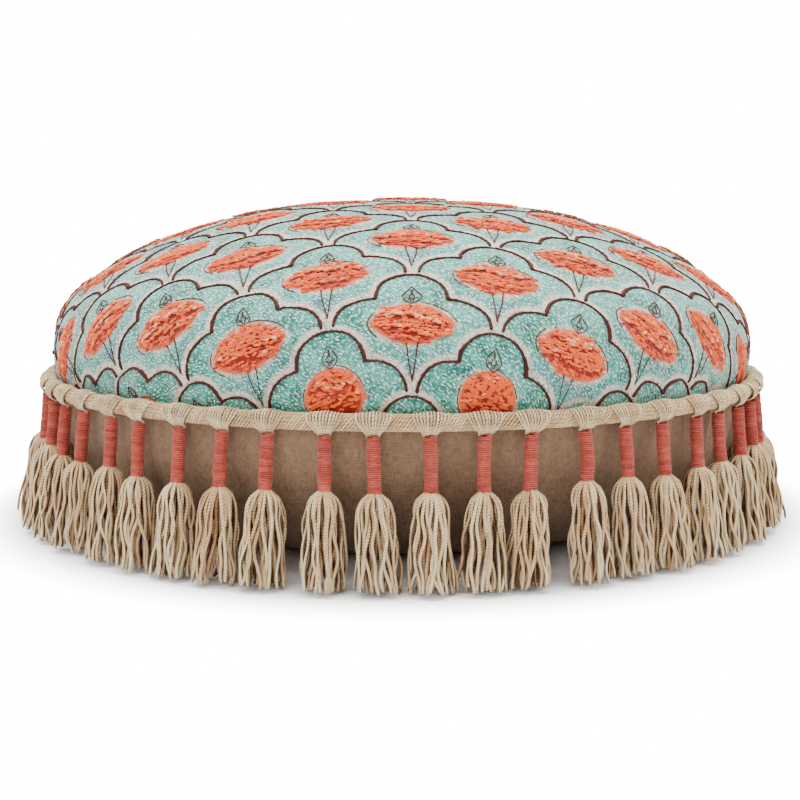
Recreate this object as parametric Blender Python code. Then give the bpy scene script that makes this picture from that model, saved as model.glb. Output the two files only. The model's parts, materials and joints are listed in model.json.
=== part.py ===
"""Round floor cushion with a domed embroidered top, a roped girth seam and a ring of tassels.

The origin is on the floor under the centre of the cushion, +Z up. The zip is at the back, at +Y.
"""

import math

import bmesh
import bpy
from mathutils import Matrix, Vector

# Driving dimensions, in metres unless a name says degrees.
GAP = 0.0003  # between pieces that touch

SEAM_RADIUS = 0.283  # girth seam, where the top and bottom panels meet
SEAM_HEIGHT = 0.111
DOME_RADIUS = 0.300  # where the dome's curve would meet the seam's level without its tuck
DOME_RISE = 0.1455  # from the seam to the crown
TUCK_HEIGHT = 0.070  # the dome is drawn in towards the seam below this height above it
BASE_RADIUS = 0.190  # flat area that rests on the floor

COVER_THICKNESS = 0.0016
LINER_THICKNESS = 0.0008
LINER_MOUTH_RADIUS = 0.030  # filling hole in the liner's base

ROPE_BULGE_RADIUS = 0.0085  # at each tassel
ROPE_WAIST_RADIUS = 0.0055  # halfway between two tassels

TASSELS_PER_QUARTER = 13
TASSEL_DRIFT_DEGREES = 0.4  # how far a tassel is sewn from its even place, at most
DRIFT_WAVES_PER_QUARTER = 5
TASSEL_LEAN_DEGREES = 6.0  # a hanging tassel stands off the cushion by this much
TASSEL_FLOOR_CLEARANCE = 0.0015
NECK_LENGTH = 0.039
NECK_RADIUS = 0.0049
SHOULDER_LENGTH = 0.008
SHOULDER_RADIUS = 0.0112
SKIRT_MIDDLE_RADIUS = 0.0130
SKIRT_END_RADIUS = 0.0150

ZIP_HEIGHT = 0.030  # middle of the tape, above the floor
ZIP_ARC_DEGREES = 84.0
ZIP_TAPE_WIDTH = 0.022
ZIP_TAPE_THICKNESS = 0.0010
COIL_WIDTH = 0.0045
COIL_THICKNESS = 0.0014
SLIDER_LENGTH = 0.011
SLIDER_WALL = 0.0014
SLIDER_CLEARANCE = 0.0004
SLIDER_TRAVEL_DEGREES = 78.0
EAR_LENGTH = 0.003
EAR_HEIGHT = 0.003
EAR_THICKNESS = 0.0011
PULL_LENGTH = 0.015
PULL_WIDTH = 0.0062
PULL_THICKNESS = 0.0012
PULL_TONGUE_WIDTH = 0.0024  # the end that turns between the ears

# How finely the round shapes are cut.
TURN_STEPS = 52
DOME_POINTS = 7
POINTS_ABOVE_ZIP = 3
POINTS_BELOW_ZIP = 2
TASSEL_SIDES = 8
ZIP_STEP_DEGREES = 3.0

# The dome is a superellipse in section.
DOME_PLAN_POWER = 2.5
DOME_HEIGHT_POWER = 2.1
TUCK_POWER = 1.3

# Worked out from the sizes above.
TASSEL_COUNT = 4 * TASSELS_PER_QUARTER
ROPE_RADIUS = SEAM_RADIUS + GAP + ROPE_BULGE_RADIUS
HALF_TURN_STEP = math.pi / TURN_STEPS
BACK = math.radians(90)


def clear_scene():
    for old in list(bpy.data.objects):
        bpy.data.objects.remove(old, do_unlink=True)


def material(name, colour, roughness, metallic=0.0):
    made = bpy.data.materials.new(name)
    made.use_nodes = True
    shader = made.node_tree.nodes["Principled BSDF"]
    shader.inputs["Base Color"].default_value = (*colour, 1.0)
    shader.inputs["Roughness"].default_value = roughness
    shader.inputs["Metallic"].default_value = metallic
    made.diffuse_color = (*colour, 1.0)
    return made


def add_object(name, data, look, parent=None):
    made = bpy.data.objects.new(name, data)
    bpy.context.scene.collection.objects.link(made)
    made.data.materials.append(look)
    made.parent = parent
    return made


def tassel_azimuth(index):
    """Hand-sewn spacing: near even, with a drift that is the same in each quarter of the ring."""
    drift = math.sin(2 * math.pi * DRIFT_WAVES_PER_QUARTER * index / TASSELS_PER_QUARTER)
    return (index + 0.5) * 2 * math.pi / TASSEL_COUNT + math.radians(TASSEL_DRIFT_DEGREES) * drift


def dome_outline():
    """The top panel's outer face as (radius, height) points, from the crown down to the seam."""
    points = []
    for step in range(DOME_POINTS + 1):
        turn = step / DOME_POINTS * math.pi / 2
        radius = DOME_RADIUS * math.sin(turn) ** (2 / DOME_PLAN_POWER)
        rise = DOME_RISE * max(math.cos(turn), 0.0) ** (2 / DOME_HEIGHT_POWER)
        tuck = max(0.0, 1 - rise / TUCK_HEIGHT) ** TUCK_POWER
        radius -= (DOME_RADIUS - SEAM_RADIUS) * tuck
        points.append(Vector((radius, SEAM_HEIGHT + rise)))
    return points


def base_outline():
    """The bottom panel's outer face, from the seam down to the flat base and in to its centre.

    It has a corner on the zip's line, so that the tape lies against it.
    """
    zip_turn = math.asin(1 - ZIP_HEIGHT / SEAM_HEIGHT)
    turns = [zip_turn * step / POINTS_ABOVE_ZIP for step in range(POINTS_ABOVE_ZIP)]
    below = math.pi / 2 - zip_turn
    turns += [zip_turn + below * step / POINTS_BELOW_ZIP for step in range(POINTS_BELOW_ZIP + 1)]
    points = []
    for turn in turns:
        radius = BASE_RADIUS + (SEAM_RADIUS - BASE_RADIUS) * math.cos(turn)
        points.append(Vector((radius, SEAM_HEIGHT * (1 - math.sin(turn)))))
    points.append(Vector((0.0, 0.0)))
    return points


def inset(points, depth):
    """The outline moved inwards by depth, square to itself. Its ends keep to the axis or the level."""
    moved = []
    last = len(points) - 1
    for index, point in enumerate(points):
        before = points[max(index - 1, 0)]
        after = points[min(index + 1, last)]
        if point.x == 0.0:
            outward = Vector((0.0, 1.0 if point.y > SEAM_HEIGHT else -1.0))
        elif index in (0, last):
            outward = Vector((1.0, 0.0))
        else:
            first = (point - before).normalized()
            second = (after - point).normalized()
            outward = Vector((-first.y - second.y, first.x + second.x)).normalized()
            corner = max(0.5, outward.dot(Vector((-first.y, first.x))))
            outward = outward / corner
        moved.append(point - outward * depth)
    return moved


def turned_mesh(name, outline, steps, azimuth=0.0, sweep=2 * math.pi):
    """A closed solid turned about Z from a closed (radius, height) outline."""
    form = bmesh.new()
    corners = [form.verts.new((point[0], 0.0, point[1])) for point in outline]
    edges = [form.edges.new(pair) for pair in zip(corners, corners[1:] + corners[:1])]
    if sweep < 2 * math.pi:
        start_cap = form.faces.new(corners)
        bmesh.ops.spin(
            form, geom=[start_cap], cent=(0, 0, 0), axis=(0, 0, 1), angle=sweep, steps=steps
        )
    else:
        bmesh.ops.spin(
            form, geom=corners + edges, cent=(0, 0, 0), axis=(0, 0, 1), angle=sweep, steps=steps
        )
        loose = [edge for edge in form.edges if not edge.link_faces]
        bmesh.ops.delete(form, geom=loose, context="EDGES")
    bmesh.ops.remove_doubles(form, verts=form.verts, dist=1e-6)
    bmesh.ops.rotate(form, verts=form.verts, cent=(0, 0, 0), matrix=Matrix.Rotation(azimuth, 3, "Z"))
    bmesh.ops.recalc_face_normals(form, faces=form.faces)
    made = bpy.data.meshes.new(name)
    form.to_mesh(made)
    form.free()
    made.shade_smooth()
    made.set_sharp_from_angle(angle=math.radians(40))
    return made


def shell(outline, thickness):
    return outline + inset(outline, thickness)[::-1]


def make_panels():
    rim = Vector((0.0, GAP / 2))
    dome = dome_outline()
    dome[-1] = dome[-1] + rim
    base = base_outline()
    base[0] = base[0] - rim
    cotton = material("embroidered_cotton", (0.30, 0.52, 0.50), 0.85)
    add_object(
        "top_panel",
        turned_mesh("top_panel", shell(dome, COVER_THICKNESS), TURN_STEPS, HALF_TURN_STEP),
        cotton,
    )
    plain = material("plain_cotton", (0.36, 0.28, 0.21), 0.9)
    add_object(
        "bottom_panel",
        turned_mesh("bottom_panel", shell(base, COVER_THICKNESS), TURN_STEPS, HALF_TURN_STEP),
        plain,
    )


def make_inside():
    """The liner fits inside both panels, and the filling fits inside the liner."""
    whole = dome_outline()[:-1] + base_outline()
    cover_inside = COVER_THICKNESS + GAP
    mouth = Vector((LINER_MOUTH_RADIUS, 0.0))
    liner_outer = inset(whole, cover_inside)
    liner_inner = inset(whole, cover_inside + LINER_THICKNESS)
    liner_outer[-1] = Vector((mouth.x, liner_outer[-1].y))
    liner_inner[-1] = Vector((mouth.x, liner_inner[-1].y))
    muslin = material("muslin", (0.80, 0.76, 0.68), 0.9)
    add_object(
        "inner_liner",
        turned_mesh("inner_liner", liner_outer + liner_inner[::-1], TURN_STEPS, HALF_TURN_STEP),
        muslin,
    )
    core = inset(whole, cover_inside + LINER_THICKNESS + GAP)
    fibre = material("fibre_filling", (0.86, 0.84, 0.80), 1.0)
    add_object("filling", turned_mesh("filling", core, TURN_STEPS, HALF_TURN_STEP), fibre)


def rope_point(azimuth):
    return (ROPE_RADIUS * math.cos(azimuth), ROPE_RADIUS * math.sin(azimuth), SEAM_HEIGHT)


def make_girth_rope():
    """One closed ring that swells at each tassel and narrows halfway to the next one."""
    curve = bpy.data.curves.new("girth_rope", "CURVE")
    curve.dimensions = "3D"
    curve.bevel_depth = ROPE_BULGE_RADIUS
    curve.bevel_resolution = 2
    ring = curve.splines.new("POLY")
    ring.points.add(2 * TASSEL_COUNT - 1)
    ring.use_cyclic_u = True
    for index in range(TASSEL_COUNT):
        here = tassel_azimuth(index)
        halfway = (here + tassel_azimuth(index + 1)) / 2
        swell, waist = ring.points[2 * index], ring.points[2 * index + 1]
        swell.co = (*rope_point(here), 1)
        waist.co = (*rope_point(halfway), 1)
        waist.radius = ROPE_WAIST_RADIUS / ROPE_BULGE_RADIUS
    add_object("girth_rope", curve, material("cotton_rope", (0.78, 0.72, 0.62), 0.85))


def tassel_mesh():
    """A bound neck and a full skirt, hanging from an origin on the rope's centre line.

    The skirt is as long as its lean lets it be before its lower edge comes to the floor.
    """
    lean = math.radians(TASSEL_LEAN_DEGREES)
    top = ROPE_BULGE_RADIUS + GAP
    neck_end = top + NECK_LENGTH
    drop = SEAM_HEIGHT - TASSEL_FLOOR_CLEARANCE
    skirt_end = (drop - SKIRT_END_RADIUS * math.sin(lean)) / math.cos(lean)
    outline = [
        (0.0, -top),
        (NECK_RADIUS, -top),
        (NECK_RADIUS, -neck_end),
        (SHOULDER_RADIUS, -neck_end - SHOULDER_LENGTH),
        (SKIRT_MIDDLE_RADIUS, -(neck_end + skirt_end) / 2),
        (SKIRT_END_RADIUS, -skirt_end),
        (0.0, -skirt_end),
    ]
    made = turned_mesh("tassel", outline, TASSEL_SIDES)
    made.transform(Matrix.Rotation(-lean, 4, "Y"))
    return made


def make_tassels():
    """Each tassel's origin is on its hinge: the rope's centre line, where its cord is sewn in."""
    shared = tassel_mesh()
    shared.materials.append(material("tassel_yarn", (0.76, 0.68, 0.58), 0.85))
    for index in range(TASSEL_COUNT):
        tassel = bpy.data.objects.new(f"tassel_{index + 1:02d}", shared)
        bpy.context.scene.collection.objects.link(tassel)
        tassel.location = rope_point(tassel_azimuth(index))
        tassel.rotation_euler.z = tassel_azimuth(index)


def zip_seat():
    """Where the zip's middle lies on the bottom panel: its point, and the panel's slope there."""
    sine = 1 - ZIP_HEIGHT / SEAM_HEIGHT
    cosine = math.sqrt(1 - sine * sine)
    side = SEAM_RADIUS - BASE_RADIUS
    point = Vector((BASE_RADIUS + side * cosine, ZIP_HEIGHT))
    outward = Vector((cosine / side, -sine / SEAM_HEIGHT)).normalized()
    upward = Vector((-outward.y, outward.x))
    return point, outward, upward


def on_panel(across, above):
    """A (radius, height) point of the zip, across its tape and above the panel's face."""
    point, outward, upward = zip_seat()
    return point + upward * across + outward * (GAP + above)


def make_zip():
    half_tape = ZIP_TAPE_WIDTH / 2
    half_coil = COIL_WIDTH / 2
    coil_top = ZIP_TAPE_THICKNESS + COIL_THICKNESS
    tape_outline = [
        on_panel(-half_tape, 0.0),
        on_panel(half_tape, 0.0),
        on_panel(half_tape, ZIP_TAPE_THICKNESS),
        on_panel(half_coil, ZIP_TAPE_THICKNESS),
        on_panel(half_coil, coil_top),
        on_panel(-half_coil, coil_top),
        on_panel(-half_coil, ZIP_TAPE_THICKNESS),
        on_panel(-half_tape, ZIP_TAPE_THICKNESS),
    ]
    arc = math.radians(ZIP_ARC_DEGREES)
    tape = turned_mesh(
        "zip_tape", tape_outline, round(ZIP_ARC_DEGREES / ZIP_STEP_DEGREES), BACK - arc / 2, arc
    )
    add_object("zip_tape", tape, material("zip_tape", (0.30, 0.24, 0.19), 0.8))

    brass = material("zip_metal", (0.55, 0.42, 0.22), 0.35, 1.0)
    channel_half = half_coil + SLIDER_CLEARANCE
    channel_top = coil_top + SLIDER_CLEARANCE
    slider_half = channel_half + SLIDER_WALL
    slider_foot = ZIP_TAPE_THICKNESS + SLIDER_CLEARANCE
    slider_top = channel_top + SLIDER_WALL
    slider_outline = [
        on_panel(-slider_half, slider_foot),
        on_panel(-channel_half, slider_foot),
        on_panel(-channel_half, channel_top),
        on_panel(channel_half, channel_top),
        on_panel(channel_half, slider_foot),
        on_panel(slider_half, slider_foot),
        on_panel(slider_half, slider_top),
        on_panel(-slider_half, slider_top),
    ]
    seat = zip_seat()[0]
    length_angle = SLIDER_LENGTH / seat.x
    # The slider's origin is on the cushion's axis, which it travels round. It is modelled
    # at azimuth zero and turned to the closed end of the tape.
    body = turned_mesh("zip_slider", slider_outline, 2, -length_angle / 2, length_angle)
    slider = add_object("zip_slider", body, brass)
    slider.rotation_euler.z = BACK - math.radians(SLIDER_TRAVEL_DEGREES) / 2

    _, outward, upward = zip_seat()
    ear_offset = PULL_TONGUE_WIDTH / 2 + GAP + EAR_THICKNESS / 2
    axes = Matrix(
        (
            (0.0, upward.x, outward.x),
            (1.0, 0.0, 0.0),
            (0.0, upward.y, outward.y),
        )
    ).to_4x4()
    for side in (-1, 1):
        middle = on_panel(side * ear_offset, slider_top + EAR_HEIGHT / 2 - GAP)
        ear_mesh = bpy.data.meshes.new("ear")
        form = bmesh.new()
        bmesh.ops.create_cube(form, size=1.0)
        bmesh.ops.scale(form, vec=(EAR_LENGTH, EAR_THICKNESS, EAR_HEIGHT + GAP), verts=form.verts)
        form.to_mesh(ear_mesh)
        form.free()
        ear_mesh.transform(Matrix.Translation((middle.x, 0.0, middle.y)) @ axes)
        ear = add_object(f"slider_ear_{'lower' if side < 0 else 'upper'}", ear_mesh, brass, slider)
        ear.hide_render = True
        ear.display_type = "WIRE"
        union = slider.modifiers.new(ear.name, "BOOLEAN")
        union.operation = "UNION"
        union.object = ear

    # The pull turns between the ears. Its empty is on that axis.
    pivot_height = slider_top + EAR_HEIGHT - EAR_THICKNESS
    pivot = on_panel(0.0, pivot_height)
    pivot_empty = bpy.data.objects.new("pull_pivot", None)
    bpy.context.scene.collection.objects.link(pivot_empty)
    pivot_empty.parent = slider
    pivot_empty.matrix_local = Matrix.Translation((pivot.x, 0.0, pivot.y)) @ axes
    add_object("zip_pull", pull_mesh(), brass, pivot_empty)


def pull_mesh():
    """A flat tab with a narrow tongue, standing along +Z from the pivot at its origin."""
    half_tongue = PULL_TONGUE_WIDTH / 2
    half_width = PULL_WIDTH / 2
    tongue_end = EAR_THICKNESS + EAR_LENGTH / 2
    outline = [
        (-half_tongue, -EAR_THICKNESS / 2),
        (half_tongue, -EAR_THICKNESS / 2),
        (half_tongue, tongue_end),
        (half_width, tongue_end + half_tongue),
        (half_width, PULL_LENGTH - half_tongue),
        (half_tongue, PULL_LENGTH),
        (-half_tongue, PULL_LENGTH),
        (-half_width, PULL_LENGTH - half_tongue),
        (-half_width, tongue_end + half_tongue),
        (-half_tongue, tongue_end),
    ]
    form = bmesh.new()
    corners = [form.verts.new((-PULL_THICKNESS / 2, across, along)) for across, along in outline]
    front = form.faces.new(corners)
    grown = bmesh.ops.extrude_face_region(form, geom=[front])
    moved = [item for item in grown["geom"] if isinstance(item, bmesh.types.BMVert)]
    bmesh.ops.translate(form, vec=(PULL_THICKNESS, 0.0, 0.0), verts=moved)
    bmesh.ops.recalc_face_normals(form, faces=form.faces)
    made = bpy.data.meshes.new("zip_pull")
    form.to_mesh(made)
    form.free()
    return made


clear_scene()
make_panels()
make_inside()
make_girth_rope()
make_tassels()
make_zip()
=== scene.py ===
import json
import math

import bpy
import numpy as np
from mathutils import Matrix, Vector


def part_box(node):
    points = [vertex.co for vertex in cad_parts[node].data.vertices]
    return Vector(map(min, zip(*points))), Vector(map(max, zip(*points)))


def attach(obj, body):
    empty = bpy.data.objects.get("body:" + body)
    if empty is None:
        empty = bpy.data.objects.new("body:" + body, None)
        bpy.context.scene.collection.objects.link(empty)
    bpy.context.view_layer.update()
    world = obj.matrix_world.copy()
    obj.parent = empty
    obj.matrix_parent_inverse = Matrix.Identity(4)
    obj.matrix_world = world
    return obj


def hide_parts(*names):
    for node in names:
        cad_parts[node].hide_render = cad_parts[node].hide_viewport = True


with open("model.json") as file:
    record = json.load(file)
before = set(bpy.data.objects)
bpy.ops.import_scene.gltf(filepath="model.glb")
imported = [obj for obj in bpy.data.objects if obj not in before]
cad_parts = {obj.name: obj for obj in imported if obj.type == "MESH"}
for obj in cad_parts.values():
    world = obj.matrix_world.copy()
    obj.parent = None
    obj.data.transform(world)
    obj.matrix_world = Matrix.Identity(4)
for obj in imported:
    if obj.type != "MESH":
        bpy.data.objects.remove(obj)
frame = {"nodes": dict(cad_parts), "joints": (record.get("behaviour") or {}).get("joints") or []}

scene = bpy.context.scene
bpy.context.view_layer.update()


# view, lights and floor

cameraSetup = dict(place=(-0.0015, -1.2, 0.250), tiltDown=7.76, lens=63.8)
lightSetup = dict(overhead=158.0, front=22.5, side=11.0, rim=10.0, ambient=0.50, backdrop=22.0)
# the floor's low brightness under the cushion, fading out to the open floor, is a painted contact shadow
floorSetup = dict(radius=40.0, brightness=9.5, paintedShadowBrightness=1.0, paintedShadowReach=0.300, openReach=0.42,
                  farReach=1.0, colour=(0.92, 0.92, 0.92))

cameraData = bpy.data.cameras.new("studioCamera")
cameraData.lens = cameraSetup["lens"]
cameraData.clip_end = 200.0
camera = bpy.data.objects.new("studioCamera", cameraData)
camera.location = cameraSetup["place"]
camera.rotation_euler = (math.radians(90.0 - cameraSetup["tiltDown"]), 0.0, 0.0)
scene.collection.objects.link(camera)
scene.camera = camera


def softLight(name, place, aim, width, height, power):
    data = bpy.data.lights.new(name, "AREA")
    data.shape = "RECTANGLE"
    data.size, data.size_y, data.energy = width, height, power
    light = bpy.data.objects.new(name, data)
    light.location = place
    direction = np.array(aim) - np.array(place)
    flat = math.hypot(direction[0], direction[1])
    heading = math.atan2(direction[1], direction[0]) - math.pi / 2
    light.rotation_euler = (math.atan2(flat, -direction[2]), 0.0, heading)
    scene.collection.objects.link(light)


softLight("overheadSoftbox", (0.0, 0.1, 2.1), (0.0, 0.0, 0.1), 2.6, 2.2, lightSetup["overhead"])
softLight("frontSoftbox", (-0.9, -2.2, 1.15), (0.0, 0.0, 0.1), 1.8, 1.2, lightSetup["front"])
softLight("sideSoftbox", (2.1, -0.9, 1.0), (0.0, 0.0, 0.1), 1.2, 1.4, lightSetup["side"])
softLight("rearSoftbox", (-0.6, 2.3, 1.4), (0.0, 0.0, 0.15), 2.0, 1.2, lightSetup["rim"])

world = bpy.data.worlds.new("paleStudio")
scene.world = world
world.use_nodes = True
worldNodes, worldLinks = world.node_tree.nodes, world.node_tree.links
worldNodes.clear()
worldOut = worldNodes.new("ShaderNodeOutputWorld")
worldMix = worldNodes.new("ShaderNodeMixShader")
worldPath = worldNodes.new("ShaderNodeLightPath")
worldFill = worldNodes.new("ShaderNodeBackground")
worldFill.inputs["Strength"].default_value = lightSetup["ambient"]
worldBack = worldNodes.new("ShaderNodeBackground")
worldBack.inputs["Strength"].default_value = lightSetup["backdrop"]
worldLinks.new(worldPath.outputs["Is Camera Ray"], worldMix.inputs["Fac"])
worldLinks.new(worldFill.outputs["Background"], worldMix.inputs[1])
worldLinks.new(worldBack.outputs["Background"], worldMix.inputs[2])
worldLinks.new(worldMix.outputs["Shader"], worldOut.inputs["Surface"])


def makeFloor():
    sides = 64
    ring = [(floorSetup["radius"] * math.cos(2 * math.pi * i / sides),
             floorSetup["radius"] * math.sin(2 * math.pi * i / sides), -0.0003) for i in range(sides)]
    mesh = bpy.data.meshes.new("studioFloor")
    mesh.from_pydata(ring, [], [list(range(sides))])
    floor = bpy.data.objects.new("studioFloor", mesh)
    scene.collection.objects.link(floor)
    material = bpy.data.materials.new("paleFloor")
    material.use_nodes = True
    nodes, links = material.node_tree.nodes, material.node_tree.links
    nodes.clear()
    output = nodes.new("ShaderNodeOutputMaterial")
    mix = nodes.new("ShaderNodeMixShader")
    path = nodes.new("ShaderNodeLightPath")
    plain = nodes.new("ShaderNodeBsdfDiffuse")
    plain.inputs["Color"].default_value = (*floorSetup["colour"], 1.0)
    bright = nodes.new("ShaderNodeBsdfDiffuse")   # the camera sees the floor as a bright studio sweep
    glow = nodes.new("ShaderNodeEmission")
    glow.inputs["Strength"].default_value = lightSetup["backdrop"]
    away = nodes.new("ShaderNodeMixShader")
    place = nodes.new("ShaderNodeTexCoord")
    reach = nodes.new("ShaderNodeVectorMath")
    reach.operation = "LENGTH"
    links.new(place.outputs["Object"], reach.inputs[0])
    # painted contact shadow: for camera rays the floor is much darker under the cushion and brightens towards
    # the open floor, then turns into the glowing backdrop further out
    for low, high, first, last, target in (
            (floorSetup["paintedShadowReach"], floorSetup["openReach"], floorSetup["paintedShadowBrightness"],
             floorSetup["brightness"], bright.inputs["Color"]),
            (floorSetup["openReach"], floorSetup["farReach"], 0.0, 1.0, away.inputs["Fac"])):
        fade = nodes.new("ShaderNodeMapRange")
        fade.interpolation_type = "SMOOTHSTEP"
        links.new(reach.outputs["Value"], fade.inputs[0])
        for index, value in enumerate((low, high, first, last)):
            fade.inputs[index + 1].default_value = value
        links.new(fade.outputs[0], target)
    links.new(bright.outputs["BSDF"], away.inputs[1])
    links.new(glow.outputs["Emission"], away.inputs[2])
    links.new(path.outputs["Is Camera Ray"], mix.inputs["Fac"])
    links.new(plain.outputs["BSDF"], mix.inputs[1])
    links.new(away.outputs["Shader"], mix.inputs[2])
    links.new(mix.outputs["Shader"], output.inputs["Surface"])
    mesh.materials.append(material)


makeFloor()
print("camera, lights and floor set")


# helpers for node trees

def newSocket(tree, label, kind, value=None, way="INPUT"):
    socket = tree.interface.new_socket(label, in_out=way, socket_type=kind)
    if value is not None:
        socket.default_value = value
    return socket


def wire(tree, source, target):
    # a plain value goes on the socket, anything else is linked
    if isinstance(source, (int, float, tuple)):
        target.default_value = source
    elif source is not None:
        tree.links.new(source, target)


def calc(tree, operation, first, second=None, third=None, clamp=False):
    node = tree.nodes.new("ShaderNodeMath")
    node.operation = operation
    node.use_clamp = clamp
    for value, socket in zip((first, second, third), node.inputs):
        if value is not None:
            wire(tree, value, socket)
    return node.outputs[0]


def blendColour(tree, factor, first, second, mode="MIX"):
    node = tree.nodes.new("ShaderNodeMix")
    node.data_type = "RGBA"
    node.blend_type = mode
    wire(tree, factor, node.inputs[0])
    wire(tree, first, node.inputs[6])
    wire(tree, second, node.inputs[7])
    return node.outputs[2]


def remap(tree, value, low, high, toLow=0.0, toHigh=1.0, smooth=True):
    node = tree.nodes.new("ShaderNodeMapRange")
    node.interpolation_type = "SMOOTHSTEP" if smooth else "LINEAR"
    for source, socket in zip((value, low, high, toLow, toHigh), node.inputs):
        wire(tree, source, socket)
    return node.outputs[0]


def noise(tree, vector, scale, detail=2.0, roughness=0.5):
    node = tree.nodes.new("ShaderNodeTexNoise")
    wire(tree, vector, node.inputs["Vector"])
    wire(tree, scale, node.inputs["Scale"])
    node.inputs["Detail"].default_value = detail
    node.inputs["Roughness"].default_value = roughness
    return node.outputs["Fac"]


def stretched(tree, vector, scale, turn=0.0):
    # turned first, then stretched, so that the streaks lie along the turned direction
    for rotation, size in (((0.0, 0.0, turn), (1.0, 1.0, 1.0)), ((0.0, 0.0, 0.0), scale)):
        node = tree.nodes.new("ShaderNodeMapping")
        wire(tree, vector, node.inputs["Vector"])
        node.inputs["Rotation"].default_value = rotation
        node.inputs["Scale"].default_value = size
        vector = node.outputs["Vector"]
    return vector


def attributeOf(tree, name, output="Fac"):
    node = tree.nodes.new("ShaderNodeAttribute")
    node.attribute_name = name
    return node.outputs[output]


def rgb(red, green, blue):
    # display values 0-255 to the linear colour that a socket takes
    display = (red, green, blue)
    return tuple(((c / 255 + 0.055) / 1.055) ** 2.4 if c > 10 else c / 3295.0 for c in display) + (1.0,)


# shared surface groups

def makeFleckGroup():
    # the short slanted slubs of a coarse twill: masks for the pale and the dark ones, and a height
    tree = bpy.data.node_groups.new("twillFlecks", "ShaderNodeTree")
    newSocket(tree, "Vector", "NodeSocketVector")
    newSocket(tree, "Fleck Count", "NodeSocketFloat", 430.0)
    newSocket(tree, "Pale Share", "NodeSocketFloat", 0.5)
    for label in ("Pale", "Dark", "Height"):
        newSocket(tree, label, "NodeSocketFloat", way="OUTPUT")
    enter = tree.nodes.new("NodeGroupInput")
    leave = tree.nodes.new("NodeGroupOutput")
    slanted = stretched(tree, enter.outputs["Vector"], (1.0, 1.9, 1.0), math.radians(32.0))
    slub = noise(tree, slanted, enter.outputs["Fleck Count"], 1.5, 0.55)
    other = noise(tree, stretched(tree, enter.outputs["Vector"], (1.0, 1.7, 1.0), math.radians(44.0)),
                  calc(tree, "MULTIPLY", enter.outputs["Fleck Count"], 0.83), 1.0, 0.5)
    edge = calc(tree, "SUBTRACT", 0.72, calc(tree, "MULTIPLY", enter.outputs["Pale Share"], 0.3))
    pale = remap(tree, slub, calc(tree, "SUBTRACT", edge, 0.06), calc(tree, "ADD", edge, 0.07))
    dark = remap(tree, other, 0.45, 0.33)
    wire(tree, pale, leave.inputs["Pale"])
    wire(tree, dark, leave.inputs["Dark"])
    wire(tree, calc(tree, "ADD", calc(tree, "MULTIPLY", slub, 0.65), calc(tree, "MULTIPLY", other, 0.35)),
         leave.inputs["Height"])
    return tree


def makeFibreGroup():
    # spun fibres in a yarn: two tones mixed by the yarn's own shade and by fine streaks
    tree = bpy.data.node_groups.new("spunFibres", "ShaderNodeTree")
    newSocket(tree, "Vector", "NodeSocketVector")
    newSocket(tree, "Shade", "NodeSocketFloat", 0.5)
    newSocket(tree, "Dark", "NodeSocketColor", (0.3, 0.2, 0.1, 1.0))
    newSocket(tree, "Light", "NodeSocketColor", (0.8, 0.7, 0.6, 1.0))
    newSocket(tree, "Fibre Count", "NodeSocketFloat", 900.0)
    newSocket(tree, "Color", "NodeSocketColor", way="OUTPUT")
    newSocket(tree, "Height", "NodeSocketFloat", way="OUTPUT")
    enter = tree.nodes.new("NodeGroupInput")
    leave = tree.nodes.new("NodeGroupOutput")
    fine = noise(tree, enter.outputs["Vector"], enter.outputs["Fibre Count"], 2.0, 0.65)
    tufts = calc(tree, "MULTIPLY", enter.outputs["Fibre Count"], 0.12)
    broad = noise(tree, enter.outputs["Vector"], tufts, 1.0)
    amount = calc(tree, "ADD", calc(tree, "MULTIPLY", fine, 0.75), calc(tree, "MULTIPLY", broad, 0.5))
    amount = calc(tree, "ADD", calc(tree, "SUBTRACT", amount, 0.62), enter.outputs["Shade"], clamp=True)
    wire(tree, blendColour(tree, amount, enter.outputs["Dark"], enter.outputs["Light"]), leave.inputs["Color"])
    wire(tree, fine, leave.inputs["Height"])
    return tree


def makeWeaveGroup():
    # plain weave: crossing threads along the two directions of the cloth
    tree = bpy.data.node_groups.new("plainWeave", "ShaderNodeTree")
    newSocket(tree, "Vector", "NodeSocketVector")
    newSocket(tree, "Threads", "NodeSocketFloat", 900.0)
    newSocket(tree, "Height", "NodeSocketFloat", way="OUTPUT")
    newSocket(tree, "Mottle", "NodeSocketFloat", way="OUTPUT")
    enter = tree.nodes.new("NodeGroupInput")
    leave = tree.nodes.new("NodeGroupOutput")
    split = tree.nodes.new("ShaderNodeSeparateXYZ")
    wire(tree, enter.outputs["Vector"], split.inputs[0])
    wobble = calc(tree, "MULTIPLY", noise(tree, enter.outputs["Vector"], 120.0, 1.0), 0.004)
    pace = calc(tree, "MULTIPLY", enter.outputs["Threads"], math.pi)
    across = calc(tree, "SINE", calc(tree, "MULTIPLY", calc(tree, "ADD", split.outputs[0], wobble), pace))
    along = calc(tree, "SINE", calc(tree, "MULTIPLY", calc(tree, "ADD", split.outputs[1], wobble), pace))
    height = calc(tree, "ABSOLUTE", calc(tree, "MULTIPLY", across, along))
    streak = noise(tree, stretched(tree, enter.outputs["Vector"], (1.0, 9.0, 1.0)), 130.0, 2.0)
    upright = noise(tree, stretched(tree, enter.outputs["Vector"], (9.0, 1.0, 1.0)), 130.0, 2.0)
    wire(tree, height, leave.inputs["Height"])
    wire(tree, calc(tree, "MULTIPLY", calc(tree, "ADD", streak, upright), 0.5), leave.inputs["Mottle"])
    return tree


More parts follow.
